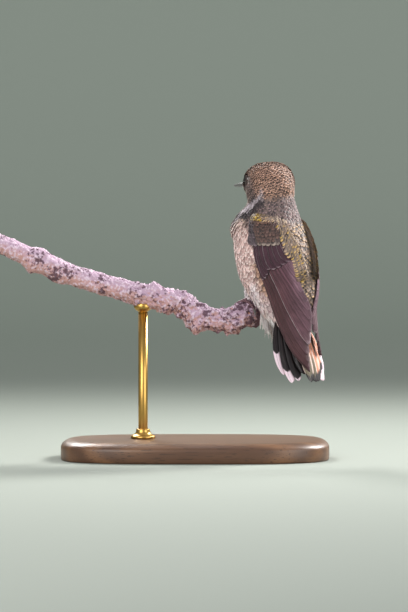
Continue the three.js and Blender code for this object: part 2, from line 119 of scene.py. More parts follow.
def section(station):
    """The middle, half height, left direction and half width of the body's section at a station."""
    back, belly = back_line(station / LAST), belly_line(station / LAST)
    heading = HEAD_HEADING + (TRUNK_HEADING - HEAD_HEADING) * belly[2]
    top, bottom = place((back[0], 0, back[1]), heading), place((belly[0], 0, belly[1]), heading)
    return (top + bottom) / 2, (top - bottom) / 2, facing(heading)[1], back[2]


def body(station, angle, depth=0.0):
    """A point under the coat's surface. The angle is 0 along the back and grows to the bird's left."""
    middle, upward, left, half = section(station)
    round_off = lambda x: copysign(abs(x) ** (2 / SECTION_POWER), x)
    tall = np.linalg.norm(upward)
    across = left * max(half - depth, 0.1) * round_off(sin(angle))
    return middle + across + upward / tall * max(tall - depth, 0.1) * round_off(cos(angle))


def thigh(side, share, angle, grow=0.0):
    """A point round a thigh, whose share runs from 0 in the body to 1 at the ankle. Angle 0 is its front."""
    top, end = [place((front, side * left, up)) for front, left, up in (THIGH_TOP, THIGH_END)]
    down, ahead = unit(end - top), facing(TRUNK_HEADING)[0]
    ahead = unit(ahead - down * ahead.dot(down))
    size = THIGH_RADIUS + (SHANK_RADIUS + 0.3 - THIGH_RADIUS) * share ** 1.4 + grow
    return top + (end - top) * share + (ahead * cos(angle) + np.cross(down, ahead) * sin(angle)) * size


def tube_faces(rings, corners, closed=True):
    """Quads over equal rings of corners, and fans to a last point at each end."""
    faces = []
    for i in range(rings - 1):
        for j in range(corners):
            a, b = i * corners + j, i * corners + (j + 1) % corners
            faces.append((a, b, b + corners, a + corners))
    if closed:
        first, last = rings * corners, rings * corners + 1
        for j in range(corners):
            faces.append((first, (j + 1) % corners, j))
            faces.append((last, (rings - 1) * corners + j, (rings - 1) * corners + (j + 1) % corners))
    return faces


def tube(rings):
    """The points and the faces of a tube through the rings, closed at the middles of its two ends."""
    rings = [np.array(ring) for ring in rings]
    points = np.vstack(rings + [rings[0].mean(0)[None], rings[-1].mean(0)[None]])
    return points, tube_faces(len(rings), len(rings[0]))


def joined(parts):
    """The points and the faces of several parts in one list each."""
    points, faces = np.zeros((0, 3)), []
    for spots, quads in parts:
        faces += [tuple(len(points) + i for i in face) for face in quads]
        points = np.vstack([points, spots])
    return points, faces


def shell(name, points, faces):
    """A smooth mesh with its faces turned outwards."""
    mesh = bpy.data.meshes.new(name)
    mesh.from_pydata(points, [], faces)
    form = bmesh.new()
    form.from_mesh(mesh)
    bmesh.ops.recalc_face_normals(form, faces=form.faces)
    form.to_mesh(mesh)
    form.free()
    mesh.polygons.foreach_set("use_smooth", [True] * len(mesh.polygons))
    return mesh


def piece(name, points, faces, material=None):
    """A finished mesh object from points in millimetres."""
    mesh = shell(name, (np.asarray(points) * 0.001).tolist(), faces)
    made = bpy.data.objects.new(name, mesh)
    bpy.context.scene.collection.objects.link(made)
    if material:
        mesh.materials.append(material)
    return made


def applied(made):
    """Applies the object's modifiers to a plain mesh."""
    result = bpy.data.meshes.new_from_object(made.evaluated_get(bpy.context.evaluated_depsgraph_get()))
    made.modifiers.clear()
    old, made.data = made.data, result
    name = old.name
    bpy.data.meshes.remove(old)
    result.name = name


def store(mesh, name, values, kind="FLOAT_VECTOR"):
    layer = mesh.attributes.new(name, kind, "POINT")
    layer.data.foreach_set("vector" if kind == "FLOAT_VECTOR" else "value", np.asarray(values, float).ravel())


turns = circle(40)
forms = [[[body(s, a, 0.12 if s < 1 else 0.3 if s < 7 else SKIN_DEPTH) for a in turns]
          for s in np.linspace(0, LAST, 90)]]
for side in (1, -1):
    forms.append([[thigh(side, t, a, -0.25) for a in turns[::2]] for t in np.linspace(0, 1, 12)])
skin = piece("skin", *joined([tube(rings) for rings in forms]))
melt = skin.modifiers.new("one skin", "REMESH")
melt.mode, melt.voxel_size = "VOXEL", 0.00035
relax = skin.modifiers.new("relax", "SMOOTH")
relax.iterations = 4
applied(skin)
skin.data.polygons.foreach_set("use_smooth", [True] * len(skin.data.polygons))

# Every point of the skin learns its station and angle, so that it carries the same markings as the coat.
MARK_ROWS, MARK_STEPS = 91, 60
nearest, spots = KDTree(MARK_ROWS * MARK_STEPS), []
for s in np.linspace(0, LAST, MARK_ROWS):
    for a in np.linspace(-pi, pi, MARK_STEPS, endpoint=False):
        nearest.insert(body(s, a, SKIN_DEPTH), len(spots))
        spots.append((s / LAST, a / pi, 0.5))
nearest.balance()
store(skin.data, "place", [spots[nearest.find(v.co * 1000)[1]] for v in skin.data.vertices])

# ---------------------------------------------------------------- plumage markings
# Feather colour is keratin and melanin: bronze-brown above, cinnamon flanks, whitish throat and vent with dusky
# centres to the feathers. One set of markings, read from each feather's place on the body, paints coat and skin.


def hex_colour(code):
    """A linear colour from its sRGB hex value."""
    parts = [int(code[i:i + 2], 16) / 255 for i in (1, 3, 5)]
    return tuple(p / 12.92 if p <= 0.04045 else ((p + 0.055) / 1.055) ** 2.4 for p in parts) + (1.0,)


# Nodes are told by their type and, after a space, by the one choice that is made most often for that type.
CHOICE = {"Math": "operation", "VectorMath": "operation", "Mix": "data_type", "MapRange": "interpolation_type",
          "Attribute": "attribute_name"}


def add(tree, kind, *values, out=None, sockets={}, **settings):
    """Adds a node with its settings and gives its first output in use, or the one named as out. The values or links
    go to its inputs in use, in their order, and those in sockets go by name."""
    kind, _, choice = kind.partition(" ")
    made = tree.nodes.new(kind if "Node" in kind else "ShaderNode" + kind)
    if choice:
        settings = {CHOICE[kind]: choice, **settings}
    for key, value in settings.items():
        setattr(made, key, value)
    named = [(made.inputs[name], value) for name, value in sockets.items()]
    for socket, value in [*zip([socket for socket in made.inputs if socket.enabled], values), *named]:
        if isinstance(value, bpy.types.NodeSocket):
            tree.links.new(value, socket)
        else:
            socket.default_value = hex_colour(value) if str(value).startswith("#") else value
    return made.outputs[out] if out else next((socket for socket in made.outputs if socket.enabled), None)


# Each tract: stations from, to, softness; angle/pi from the back from, to, softness; ground, fringe and centre
# colours; and the share of its feathers that have the dark centre. Stations past 20 stand for rows on the wing.
TRACTS = [
    ("crown", -2, 6.9, 0.5, -1, 0.46, 0.05, "#80604f", "#cfa28d", "#3d2b26", 0.75),
    ("forehead", -2, 2.2, 0.6, -1, 0.5, 0.05, "#6b554a", "#a78677", "#43342f", 0.75),
    ("nape", 6.8, 9.3, 0.4, -1, 0.50, 0.05, "#64534f", "#94797a", "#3e3234", 0.65),
    ("rump", 13.6, 19, 0.8, -1, 0.5, 0.06, "#57463f", "#8a6d62", "#3d302c", 0.5),
    ("cheek", 2.6, 7.2, 0.4, 0.40, 0.66, 0.04, "#6b554f", "#9c827c", "#3a2d2c", 0.8),
    ("ear edge", 5.9, 7.3, 0.3, 0.41, 0.51, 0.03, "#33292e", "#54474c", "#1f171a", 0.9),
    ("lores", -1, 3.3, 0.4, 0.42, 0.60, 0.03, "#453733", "#6d5a54", "#2a201e", 0.9),
    ("throat", 0.6, 8.2, 0.4, 0.62, 2, 0.04, "#cabdb3", "#ddd2c9", "#7c6858", 0.6),
    ("gorget spot", 3.6, 6.0, 0.4, 0.92, 2, 0.04, "#b98a6c", "#dcc3ae", "#b04a26", 0.6),
    ("breast", 8.4, 11, 0.5, 0.58, 2, 0.05, "#cfb9b1", "#ded1ca", "#b0968e", 0.35),
    ("flank", 8.8, 17, 0.5, 0.40, 0.88, 0.05, "#dfbdb7", "#f2ddd9", "#b5928d", 0.45),
    ("collar", 6.7, 7.7, 0.3, 0.30, 0.74, 0.05, "#a4979e", "#cdc2c7", "#82757a", 0.4),
    # The dark band below the collar is painted shadow in the fold where the neck's feathers overhang the breast side.
    ("crease", 7.55, 8.15, 0.12, 0.26, 0.6, 0.04, "#33282c", "#4a3c41", "#241b1e", 0.9),
    ("armpit", 11.2, 13.5, 0.4, 0.38, 0.51, 0.03, "#a07b6b", "#cda68d", "#5c4843", 0.6),
    ("lower flank", 13.5, 15.2, 0.4, 0.40, 0.60, 0.04, "#bda2a5", "#d8c3c4", "#997d81", 0.4),
    ("leg patch", 12.9, 14.0, 0.3, 0.56, 0.84, 0.04, "#e2d2d6", "#f0e6e8", "#c4aeb3", 0.3),
    ("belly", 10.8, 17.5, 0.8, 0.88, 2, 0.05, "#d2c6bf", "#e0d7d1", "#b9a79f", 0.15),
    ("vent", 14.6, 19, 0.5, 0.57, 2, 0.06, "#eee8e7", "#faf7f6", "#d8c8c2", 0.15),
    ("spot behind the eye", 3.85, 4.15, 0.15, 0.455, 0.48, 0.015, "#a5958c", "#cfc3ba", "#a5958c", 0.0),
    # The wrist's gold fringes are painted glints, like those on the mantle.
    ("wrist", 21, 23, 0.5, -1, 2, 0.05, "#655243", "#c9a43c", "#40342c", 0.4),
    ("rusty bar", 24, 26, 0.5, -1, 2, 0.05, "#614840", "#805e50", "#3f2b27", 0.5),
    ("lesser coverts", 27, 29, 0.5, -1, 2, 0.05, "#4a3430", "#6a4f47", "#2f2422", 0.5),
    ("shoulder edge", 30, 32, 0.5, -1, 2, 0.05, "#453534", "#9c8b80", "#342827", 0.3),
    ("wing's leading strip", 33, 35, 0.5, -1, 2, 0.05, "#473a3f", "#6d5d63", "#2e2428", 0.6),
]
LEAN = {"collar": 3.9, "crease": 3.9}  # these run from the nape down to the breast, in stations for each turn
BACK = ("#7a6a61", "#d0ac92", "#463d3b")
# The colour of the painted glints on the mantle.
GLINT = "#c9a23a"

markings = tree = bpy.data.node_groups.new("markings", "ShaderNodeTree")
for socket in ("Place", "Vane"):
    markings.interface.new_socket(socket, in_out="INPUT", socket_type="NodeSocketVector")
markings.interface.new_socket("Colour", in_out="OUTPUT", socket_type="NodeSocketColor")
markings.interface.new_socket("Barbs", in_out="OUTPUT", socket_type="NodeSocketFloat")
into = add(tree, "NodeGroupInput").node.outputs
spot = add(tree, "SeparateXYZ", into["Place"]).node.outputs
vane = add(tree, "SeparateXYZ", into["Vane"]).node.outputs
where = add(tree, "TexCoord", out="Object")
ragged = add(tree, "Math SUBTRACT", add(tree, "TexNoise", where, 260, 3), 0.5)
station = add(tree, "Math MULTIPLY_ADD", ragged, 1.6, add(tree, "Math MULTIPLY", spot["X"], float(LAST)))
round_it = add(tree, "Math MULTIPLY_ADD", ragged, 0.12, add(tree, "Math ABSOLUTE", spot["Y"]))
grounds, fringes, centres = BACK
share = 0.4
for name, low, high, soft, near, far, gentle, ground, fringe, centre, dark in TRACTS:
    mask, row = None, station
    if name in LEAN:
        row = add(tree, "Math MULTIPLY_ADD", round_it, -LEAN[name], station)
        row = add(tree, "Math ADD", row, LEAN[name] / 2)
    for value, edge, width in ((row, low, soft), (row, high, -soft), (round_it, near, gentle),
                               (round_it, far, -gentle)):
        bound = add(tree, "MapRange SMOOTHSTEP", value, edge - abs(width), edge + abs(width),
                    float(width < 0), float(width > 0))
        mask = add(tree, "Math MULTIPLY", mask, bound) if mask else bound
    grounds, fringes, centres = [
        add(tree, "Mix RGBA", mask, below, code)
        for below, code in ((grounds, ground), (fringes, fringe), (centres, centre))]
    share = add(tree, "Mix FLOAT", mask, share, dark)

# Painted gold glints on scattered feathers of the mantle beside the wings, standing in for where the barbules catch the
# light.
fate = add(tree, "Math FRACT", add(tree, "Math MULTIPLY", spot["Z"], 7.31))
painted_glint = add(tree, "MapRange", fate, 0.25, 0.9, 0.05, 0.85)
for value, low, high, least in ((station, 8.6, 9.8, 0), (station, 16.4, 14.6, 0), (round_it, 0.44, 0.36, 0),
                                (round_it, 0.02, 0.16, 0.3)):
    mask = add(tree, "MapRange SMOOTHSTEP", value, low, high, least, 1)
    painted_glint = add(tree, "Math MULTIPLY", painted_glint, mask)
fringes = add(tree, "Mix RGBA", painted_glint, fringes, GLINT)

# The vane runs from its quill at 0 to its tip at 1, and from edge to edge at -1 and 1. Barbs leave the shaft at a
# slant and each takes the fringe in at its own depth. Real ones are 0.05 mm apart, and these are four times coarser.
out = add(tree, "Math ABSOLUTE", vane["X"])
slant = add(tree, "Math MULTIPLY_ADD", out, -0.55, vane["Y"])
barbs = add(tree, "Math SINE", add(tree, "Math MULTIPLY", slant, 75))
strand = add(tree, "CombineXYZ", slant, vane["X"], spot["Z"])
strand = add(tree, "TexNoise", add(tree, "VectorMath MULTIPLY", strand, (14.0, 1.4, 90.0)), 1, 2)
strand = add(tree, "Math SUBTRACT", strand, 0.5)
side = add(tree, "Math MULTIPLY_ADD", strand, 0.9, out)
end = add(tree, "Math MULTIPLY_ADD", strand, 0.42, vane["Y"])
rim = [add(tree, "MapRange SMOOTHSTEP", value, a, b, 0, c)
       for value, a, b, c in ((side, 0.6, 1.1, 0.5), (end, 0.74, 0.90, 1.0))]
rim = add(tree, "Math MAXIMUM", *rim)
rim = add(tree, "Math MULTIPLY", rim, add(tree, "MapRange", fate, 0, 1, 0.45, 1.1))
colour = add(tree, "Mix RGBA", rim, grounds, fringes)
wide = add(tree, "Math DIVIDE", side, 0.6)
tall = add(tree, "Math DIVIDE", add(tree, "Math SUBTRACT", end, 0.58), 0.3)
blot = add(tree, "Math MULTIPLY_ADD", tall, tall, add(tree, "Math MULTIPLY", wide, wide))
blot = add(tree, "MapRange SMOOTHSTEP", blot, 1.3, 0.4)
blot = add(tree, "Math MULTIPLY", blot, add(tree, "Math GREATER_THAN", share, spot["Z"]))
colour = add(tree, "Mix RGBA", blot, colour, centres)
worn = add(tree, "Math MULTIPLY_ADD", spot["Z"], 0.24, 0.88)
tone = add(tree, "Math MULTIPLY_ADD", barbs, 0.05, worn)
tone = add(tree, "Math MULTIPLY_ADD", strand, 0.7, tone)
mottle = add(tree, "MapRange", add(tree, "TexNoise", where, 900, 2), 0.3, 0.7, 0.84, 1.16)
tone = add(tree, "Math MULTIPLY", tone, mottle)
colour = add(tree, "VectorMath SCALE", colour, tone)
add(tree, "NodeGroupOutput", colour, barbs)


def finish(name, metallic=0.0, roughness=0.5, **sockets):
    """A new material, its node tree and its Principled shader with these constants on its own sockets."""
    made = bpy.data.materials.new(name)
    made.use_nodes = True
    shader = made.node_tree.nodes["Principled BSDF"]
    shader.inputs["Metallic"].default_value = metallic
    shader.inputs["Roughness"].default_value = roughness
    for key, value in sockets.items():
        shader.inputs[key.replace("_", " ")].default_value = value
    return made, made.node_tree, shader


def plug(shader, **sources):
    """Links outputs to the shader's sockets. A bump's strength and its depth in metres come first."""
    for key, source in sources.items():
        shader.id_data.links.new(source, shader.inputs[key.replace("_", " ")])


# Contour feathers: matt keratin with a faint sheen from the barbules.
coat_finish, tree, shader = finish("feather coat", roughness=0.68, IOR=1.5, Sheen_Weight=0.12, Sheen_Roughness=0.4)
paint = add(tree, "Group", add(tree, "Attribute place", out="Vector"), add(tree, "Attribute vane", out="Vector"),
            node_tree=markings).node.outputs
plug(shader, Base_Color=paint["Colour"], Normal=add(tree, "Bump", 0.25, 0.00004, sockets={"Height": paint["Barbs"]}))

# Bare skin under the coat, stained with the same markings by the down over it.
skin_finish, tree, shader = finish("downy skin", roughness=0.8)
paint = add(tree, "Group", add(tree, "Attribute place", out="Vector"), (0.7, 0.5, 0.0), node_tree=markings).node.outputs
down = add(tree, "TexNoise", add(tree, "TexCoord", out="Object"), 2600, 4)
dull = add(tree, "VectorMath SCALE", paint["Colour"], add(tree, "MapRange", down, 0, 1, 0.75, 1.1))
plug(shader, Base_Color=dull, Normal=add(tree, "Bump", 0.5, 0.0001, sockets={"Height": down}))
skin.data.materials.append(skin_finish)
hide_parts("head", "neck", "trunk", "thigh_left", "thigh_right")
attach(skin, "root")

# ---------------------------------------------------------------- how the wings lie
# Each closed wing rests over the body's side on a thin sheet that follows the flank. Its edges are given from wrist
# to tip, and the coat leaves the ground under it bare, as the plumage there is only down.

LEFT_WING = (
    [(-0.5, 9.1, 66.6), (-3.3, 10.8, 55), (-6.5, 9.6, 46.5), (-8.3, 7.2, 38.5), (-12.0, 5.0, 30.3), (-15.2, 1.2, 24.6)],
    [(-7.2, 5.6, 66.0), (-12.0, 4.4, 56.0), (-13.9, 3.4, 49.0), (-14.7, -0.3, 41.8), (-14.8, 0.2, 32),
     (-15.4, 0.9, 24.9)])
RIGHT_WING = (
    [(0.4, -8.9, 66.0), (-2.6, -10.8, 55), (-6.0, -10.4, 46.5), (-8.2, -9.6, 38.5), (-10.1, -8.5, 33),
     (-11.8, -7.2, 28.6)],
    [(-6.2, -6.0, 65.4), (-11.2, -5.0, 56.0), (-13.5, -3.0, 49.0), (-13.6, -1.4, 41.8), (-12.9, -3.2, 35),
     (-12.0, -6.9, 29.0)])
WING_CAMBER = 1.1
WING_CLEARANCE = 0.3
SHEET_ROWS, SHEET_COLUMNS = 97, 25

frames = [section(s) for s in np.linspace(7.6, LAST, 260)]
middles, uprights, lefts = [np.array([f[i] for f in frames]) for i in range(3)]
halves = np.array([f[3] for f in frames])
tailwards = np.cross(uprights, lefts)


def depth_in_body(spots):
    """0 on the body's middle line, 1 on the coat's surface and more outside."""
    behind = np.einsum("kj,nkj->nk", tailwards, spots[:, None] - middles[None])
    i = np.clip((behind > 0).sum(1), 1, len(frames) - 1)
    rows = np.arange(len(spots))
    w = np.clip(behind[rows, i - 1] / (behind[rows, i - 1] - behind[rows, i] + 1e-9), 0, 1)[:, None]
    middle, upright, across = [v[i - 1] * (1 - w) + v[i] * w for v in (middles, uprights, lefts)]
    half = halves[i - 1] * (1 - w[:, 0]) + halves[i] * w[:, 0]
    arm = spots - middle
    x = np.abs((arm * across).sum(1)) / half
    y = np.abs((arm * upright).sum(1)) / (upright ** 2).sum(1)
    return (x ** SECTION_POWER + y ** SECTION_POWER) ** (1 / SECTION_POWER)


def wing_sheet(edges, side):
    """The folded wing's middle sheet, its outward directions and its chords, from wrist to tip."""
    long, wide = SHEET_ROWS, SHEET_COLUMNS
    leading, trailing = [spline([place(spot) for spot in edge]) for edge in edges]
    sheet, outs, clear, chords = [], [], [], []
    for along in np.linspace(0, 1, long):
        start = leading(along)
        chord = trailing(along) - start
        run = leading(min(1, along + 0.001)) - leading(max(0, along - 0.001))
        out = unit(np.cross(chord, run) * -side)
        chords.append(np.linalg.norm(chord))
        for across in np.linspace(0, 1, wide):
            sheet.append(start + chord * across + out * WING_CAMBER * 4 * across * (1 - across))
            outs.append(out)
            clear.append(0.1 + 0.12 * max(0, 1 - along / 0.4) + WING_CLEARANCE)
    sheet, outs, clear = np.array(sheet), np.array(outs), np.array(clear)
    push, touching = np.zeros(len(sheet)), np.ones(len(sheet), bool)
    while touching.any():
        touching &= depth_in_body(sheet + outs * (push - clear)[:, None]) < 1
        push[touching] += 0.1
    push = push.reshape(long, wide)
    for _ in range(4):
        push[1:-1] = (push[:-2] + 2 * push[1:-1] + push[2:]) / 4
        push[:, 1:-1] = (push[:, :-2] + 2 * push[:, 1:-1] + push[:, 2:]) / 4
        push[:, -1] = push[:, -2]
    outs = outs.reshape(long, wide, 3)
    return sheet.reshape(long, wide, 3) + outs * push[..., None], outs, np.array(chords)


def on_wing(sheet, along, reach, lift):
    """Points of the wing: along its length, reach in millimetres back from the leading edge, and lift outwards."""
    points, outs, chords = sheet
    along, reach = np.asarray(along, float), np.asarray(reach, float)
    row = np.clip(along, -0.06, 1.0) * (len(points) - 1)
    i = np.clip(row.astype(int), 0, len(points) - 2)
    chord = chords[i] + (chords[i + 1] - chords[i]) * (row - i)
    column = reach / np.maximum(chord, 0.8) * (points.shape[1] - 1)
    j = np.clip(column.astype(int), 0, points.shape[1] - 2)
    u, v = (row - i)[..., None], (column - j)[..., None]
    near, far = [points[i, k] * (1 - u) + points[i + 1, k] * u for k in (j, j + 1)]
    return near * (1 - v) + far * v + outs[i, j] * np.asarray(lift, float)[..., None]


sheets = {1: wing_sheet(LEFT_WING, 1), -1: wing_sheet(RIGHT_WING, -1)}
# The coat stays off what the wing covers, all but a margin at its wrist, its tip and its edges.
covered = [spot for sheet in sheets.values() for row in sheet[0][8:93] for spot in row[3:22]]
shelter = KDTree(len(covered))
for i, spot in enumerate(covered):
    shelter.insert(spot, i)
shelter.balance()

# ---------------------------------------------------------------- contour coat
# The coat is some thousands of small feathers, each a cupped vane on a quill in the skin. They lie tailward like
# roof tiles, smallest round the bill and eyes and longest over the vent.

EYE_RADIUS, EYE_PLACE = 1.65, (2.5, 5.2, 77.0)
EYE_MARGIN, WING_MARGIN = 0.12, 1.7  # how near a quill may stand
CELL = 1.3  # quills are looked up by cells wider than any spacing
STATION_STEP, ROUND_STEPS = 0.045, 160
eye_places = [place((EYE_PLACE[0], side * EYE_PLACE[1], EYE_PLACE[2]), HEAD_HEADING) for side in (1, -1)]


def coat_depth(station):
    return float(np.interp(station, [0, 1, 3, 7, 9, 18], [0.06, 0.14, 0.26, 0.32, 0.42, 0.45]))


def spacing(station, turn):
    """How far apart quills stand, in millimetres, at a station and an angle/pi from the back."""
    knots = [0, 1, 2.5, 4, 6, 8, 9.5, 13, 16, 18]
    above = np.interp(station, knots, [0.3, 0.38, 0.47, 0.55, 0.6, 0.72, 0.9, 1.0, 1.05, 1.2])
    below = np.interp(station, knots, [0.3, 0.38, 0.48, 0.6, 0.68, 0.8, 0.95, 1.1, 1.15, 1.2])
    return float(above + (below - above) * np.clip((turn - 0.4) / 0.3, 0, 1))


def vane_form(name, rows, tip, split=0.0):
    """A feather of unit size: x from edge to edge, y from quill to tip, z standing off the skin."""
    columns = [(-1, 0), (-0.5, 0), (0, 0), (0.5, 0), (1, 0), (0.5, 1), (0, 1), (-0.5, 1)]
    points, across = [], []
    for i, y in enumerate(rows):
        wide = 0.32 + 0.68 * sin(min(y / 0.55, 1) * pi / 2)
        wide *= sqrt(max(1 - (max(y - tip, 0) / (1.002 - tip)) ** 2, 0.02))
        for x, under in columns:
            notch = split * abs(x) * (i % 2) * (y > 0.5)
            z = y ** 0.75 - 0.22 * y ** 8 - 0.26 * (x * wide) ** 2 * (0.3 + 0.7 * y)
            points.append((x * wide * 0.5, y - notch, z - 0.07 * under))
            across.append((x, y, 0))
    points += [(0, rows[0] - 0.02, -0.05), (0, 1.0, 0.75)]
    made = shell(name, points, tube_faces(len(rows), len(columns)))
    store(made, "vane", across + [(0, 0, 0), (0, 1, 0)])
    return bpy.data.objects.new(name, made)


tile_vane = vane_form("tile feather", [0.02, 0.3, 0.55, 0.75, 0.88, 0.965], 0.5, split=0.03)
soft_vane = vane_form("soft feather", [0.02, 0.25, 0.45, 0.6, 0.75, 0.87, 0.96], 0.35, split=0.07)

lay = bpy.data.node_groups.new("lay the coat", "GeometryNodeTree")
for name, kind in (("Quills", "Geometry"), ("Feather", "Object"), ("Finish", "Material"), ("Ruffle", "Float"),
                   ("Patch", "Float"), ("Seed", "Int")):
    lay.interface.new_socket(name, in_out="INPUT", socket_type="NodeSocket" + kind)
lay.interface.new_socket("Coat", in_out="OUTPUT", socket_type="NodeSocketGeometry")
into = add(lay, "NodeGroupInput").node.outputs
named = {name: add(lay, "GeometryNodeInputNamedAttribute", name, data_type="FLOAT_VECTOR")
         for name in ("outward", "lie", "size", "chart", "vane")}
stand = add(lay, "FunctionNodeAxesToRotation", named["outward"], named["lie"], primary_axis="Z", secondary_axis="Y")
low = add(lay, "VectorMath SCALE", (-0.5, -0.7, -1.3), into["Ruffle"])
high = add(lay, "VectorMath SCALE", (0.5, 0.7, 1.3), into["Ruffle"])
stir = add(lay, "FunctionNodeRandomValue", low, high, sockets={"Seed": into["Seed"]}, data_type="FLOAT_VECTOR")
stir = add(lay, "FunctionNodeEulerToRotation", stir)
stand = add(lay, "FunctionNodeRotateRotation", stand, stir, rotation_space="LOCAL")
model = add(lay, "GeometryNodeObjectInfo", into["Feather"], out="Geometry")
set_out = add(lay, "GeometryNodeInstanceOnPoints", sockets={"Points": into["Quills"], "Instance": model,
                                                            "Rotation": stand, "Scale": named["size"]})
real = add(lay, "GeometryNodeRealizeInstances", set_out)
spread = add(lay, "VectorMath MULTIPLY", named["vane"], (0.5, 1.0, 0.0))
spread = add(lay, "VectorMath SCALE", spread, into["Patch"])
unwrap = add(lay, "VectorMath ADD", named["chart"], spread)
real = add(lay, "GeometryNodeStoreNamedAttribute", sockets={"Geometry": real, "Name": "OFBake", "Value": unwrap},
           data_type="FLOAT2", domain="CORNER")
real = add(lay, "GeometryNodeSetMaterial", sockets={"Geometry": real, "Material": into["Finish"]})
add(lay, "NodeGroupOutput", real)


def squared(arrow, line):
    """The part of an arrow that is square to a line."""
    return arrow - line * arrow.dot(line) / line.dot(line)


def clothe(name, quills, feather, ruffle, seed):
    """One piece of coat from its quills, each (point, outward, lie, size, place, chart)."""
    columns = [np.array([quill[i] for quill in quills], float) for i in range(6)]
    mesh = bpy.data.meshes.new(name + " quills")
    mesh.from_pydata((columns[0] * 0.001).tolist(), [], [])
    for key, values in zip(("outward", "lie", "size", "place", "chart"), columns[1:]):
        store(mesh, key, values * 0.001 if key == "size" else values)
    made = bpy.data.objects.new(name, mesh)
    bpy.context.scene.collection.objects.link(made)
    grow = made.modifiers.new("coat", "NODES")
    grow.node_group = lay
    values = {"Feather": feather, "Finish": coat_finish, "Ruffle": ruffle, "Patch": 0.003, "Seed": seed}
    for socket in lay.interface.items_tree:
        if socket.name in values:
            grow[socket.identifier] = values[socket.name]
    applied(made)
    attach(made, "root")
    return made


def charted(station, turn):
    """A quill's place on the coat's bake map."""
    return (0.02 + 0.9 * (turn + 1) / 2, 0.02 + 0.95 * station / LAST, 0)


def body_quills():
    """Quills over the body, each as far from its neighbours as its spacing asks."""
    cells, quills = {}, []
    for station in np.arange(0.1, LAST - 0.02, STATION_STEP):
        for i in range(ROUND_STEPS):
            angle = (i + 1) // 2 * (1 if i % 2 else -1) / (ROUND_STEPS / 2) * pi + chance.normal(0, 0.012)
            turn = abs(angle) / pi
            gap = spacing(station, turn)
            spot = body(station, angle, coat_depth(station))
            cell = tuple(int(c // CELL) for c in spot)
            near = [q for dx in (-1, 0, 1) for dy in (-1, 0, 1) for dz in (-1, 0, 1)
                    for q in cells.get((cell[0] + dx, cell[1] + dy, cell[2] + dz), ())]
            if (any(np.sum((spot - q) ** 2) < gap * gap for q in near) or shelter.find(spot)[2] < WING_MARGIN
                    or min(np.linalg.norm(spot - eye) for eye in eye_places) < EYE_RADIUS + EYE_MARGIN):
                continue
            cells.setdefault(cell, []).append(spot)
            lie = body(station + 0.1, angle, coat_depth(station)) - body(station - 0.1, angle, coat_depth(station))
            round_it = body(station, angle + 0.02) - body(station, angle - 0.02)
            outward = unit(np.cross(lie, round_it))
            if outward.dot(spot - section(station)[0]) < 0:
                outward = -outward
            quills.append((spot, station, angle, turn, gap, outward, unit(lie)))
    return quills


parts = {"coat_head": [], "coat_neck": [], "coat_back": [], "coat_front": [], "coat_vent": []}
for spot, station, angle, turn, gap, outward, lie in body_quills():
    long = 2.75 * gap * (1 + 0.7 * np.clip((station - 16.0) / 2, 0, 1)) * (1 + chance.normal(0, 0.08))
    if station > 16 and 0.5 <= turn < 0.66:
        long *= 0.6
    if station > 17 and turn >= 0.66:
        long *= 0.72
    if turn > 0.6:
        long *= 1.0 + 0.35 * np.clip((station - 12) / 4, 0, 1)
    size = (1.95 * gap, long, coat_depth(station) * 0.95 + 0.05)
    luck = chance.random()
    quill = (spot, outward, lie, size, (station / LAST, angle / pi, luck), charted(station, angle / pi))
    key = ("coat_head" if station < 6.4 else "coat_neck" if station < 8.7 else "coat_back" if turn < 0.5
           else "coat_front")
    parts["coat_vent" if station > 15 and turn >= 0.5 else key].append(quill)

# Loose white down hangs from the vent, and short buff feathers clothe the thighs to the ankle.
ahead = facing(TRUNK_HEADING)[0]
DOWN_TUFTS, THIGH_ROWS = 80, 11
for i in range(DOWN_TUFTS):
    station = 14.5 + 1.4 * chance.random()
    turn = chance.choice([-1, 1]) * (0.70 + 0.3 * chance.random())
    spot = body(station, turn * pi, 0.7)
    lie = np.array([0, 0, -1.0]) - ahead * min(0.28, 0.22 + chance.normal(0, 0.06)) + chance.normal(0, 0.06, 3)
    outward = squared(ahead * 0.9 + facing(TRUNK_HEADING)[1] * turn * 0.5, lie)
    size, marks = (1.5, 4.4 + 1.6 * chance.random(), 0.5), (17 / LAST, 0.9, chance.random())
    parts["coat_vent"].append((spot, outward, lie, size, marks, charted(station, turn)))
for side in (1, -1):
    for share in np.linspace(0.0, 0.9, THIGH_ROWS):
        for t in circle(THIGH_ROWS) + 0.3 * chance.random():
            spot = thigh(side, share, t, -0.3)
            outward = thigh(side, share, t) - thigh(side, share, t + pi)
            lie = thigh(side, share + 0.05, t) - thigh(side, share, t) - ahead * 0.06
            parts["coat_vent"].append((spot, outward, lie, (1.15 - 0.3 * share, 2.3 - 0.7 * share, 0.35),
                                       (13.4 / LAST, 0.7, chance.random()),
                                       (0.935 + 0.025 * t / pi, 0.35 + 0.3 * side + 0.25 * share, 0)))

for name, feather, ruffle, slot, seed in (
        ("coat_head", tile_vane, 0.07, "plumage_head", 1), ("coat_neck", soft_vane, 0.09, "plumage_head", 2),
        ("coat_back", tile_vane, 0.08, "plumage_back", 3), ("coat_front", soft_vane, 0.10, "plumage_body", 4),
        ("coat_vent", soft_vane, 0.16, "plumage_body", 5)):
    clothe(name, parts[name], feather, ruffle, seed)

# ---------------------------------------------------------------- eyes
# A large dark eye on each side of the head: a glossy globe with a clear bulging cornea over a near-black iris, set
# under two bare lids with beaded edges.

# A wet cornea over a near-black iris: one small sharp highlight on a dark ball.
eye_finish, tree, shader = finish("wet dark eye", roughness=0.06, IOR=1.38, Coat_Weight=1.0, Coat_Roughness=0.02)
iris = add(tree, "MapRange SMOOTHSTEP", add(tree, "Attribute gaze", out="Fac"), 0.80, 0.87)
plug(shader, Base_Color=add(tree, "Mix RGBA", iris, "#2c1b13", "#050404"))

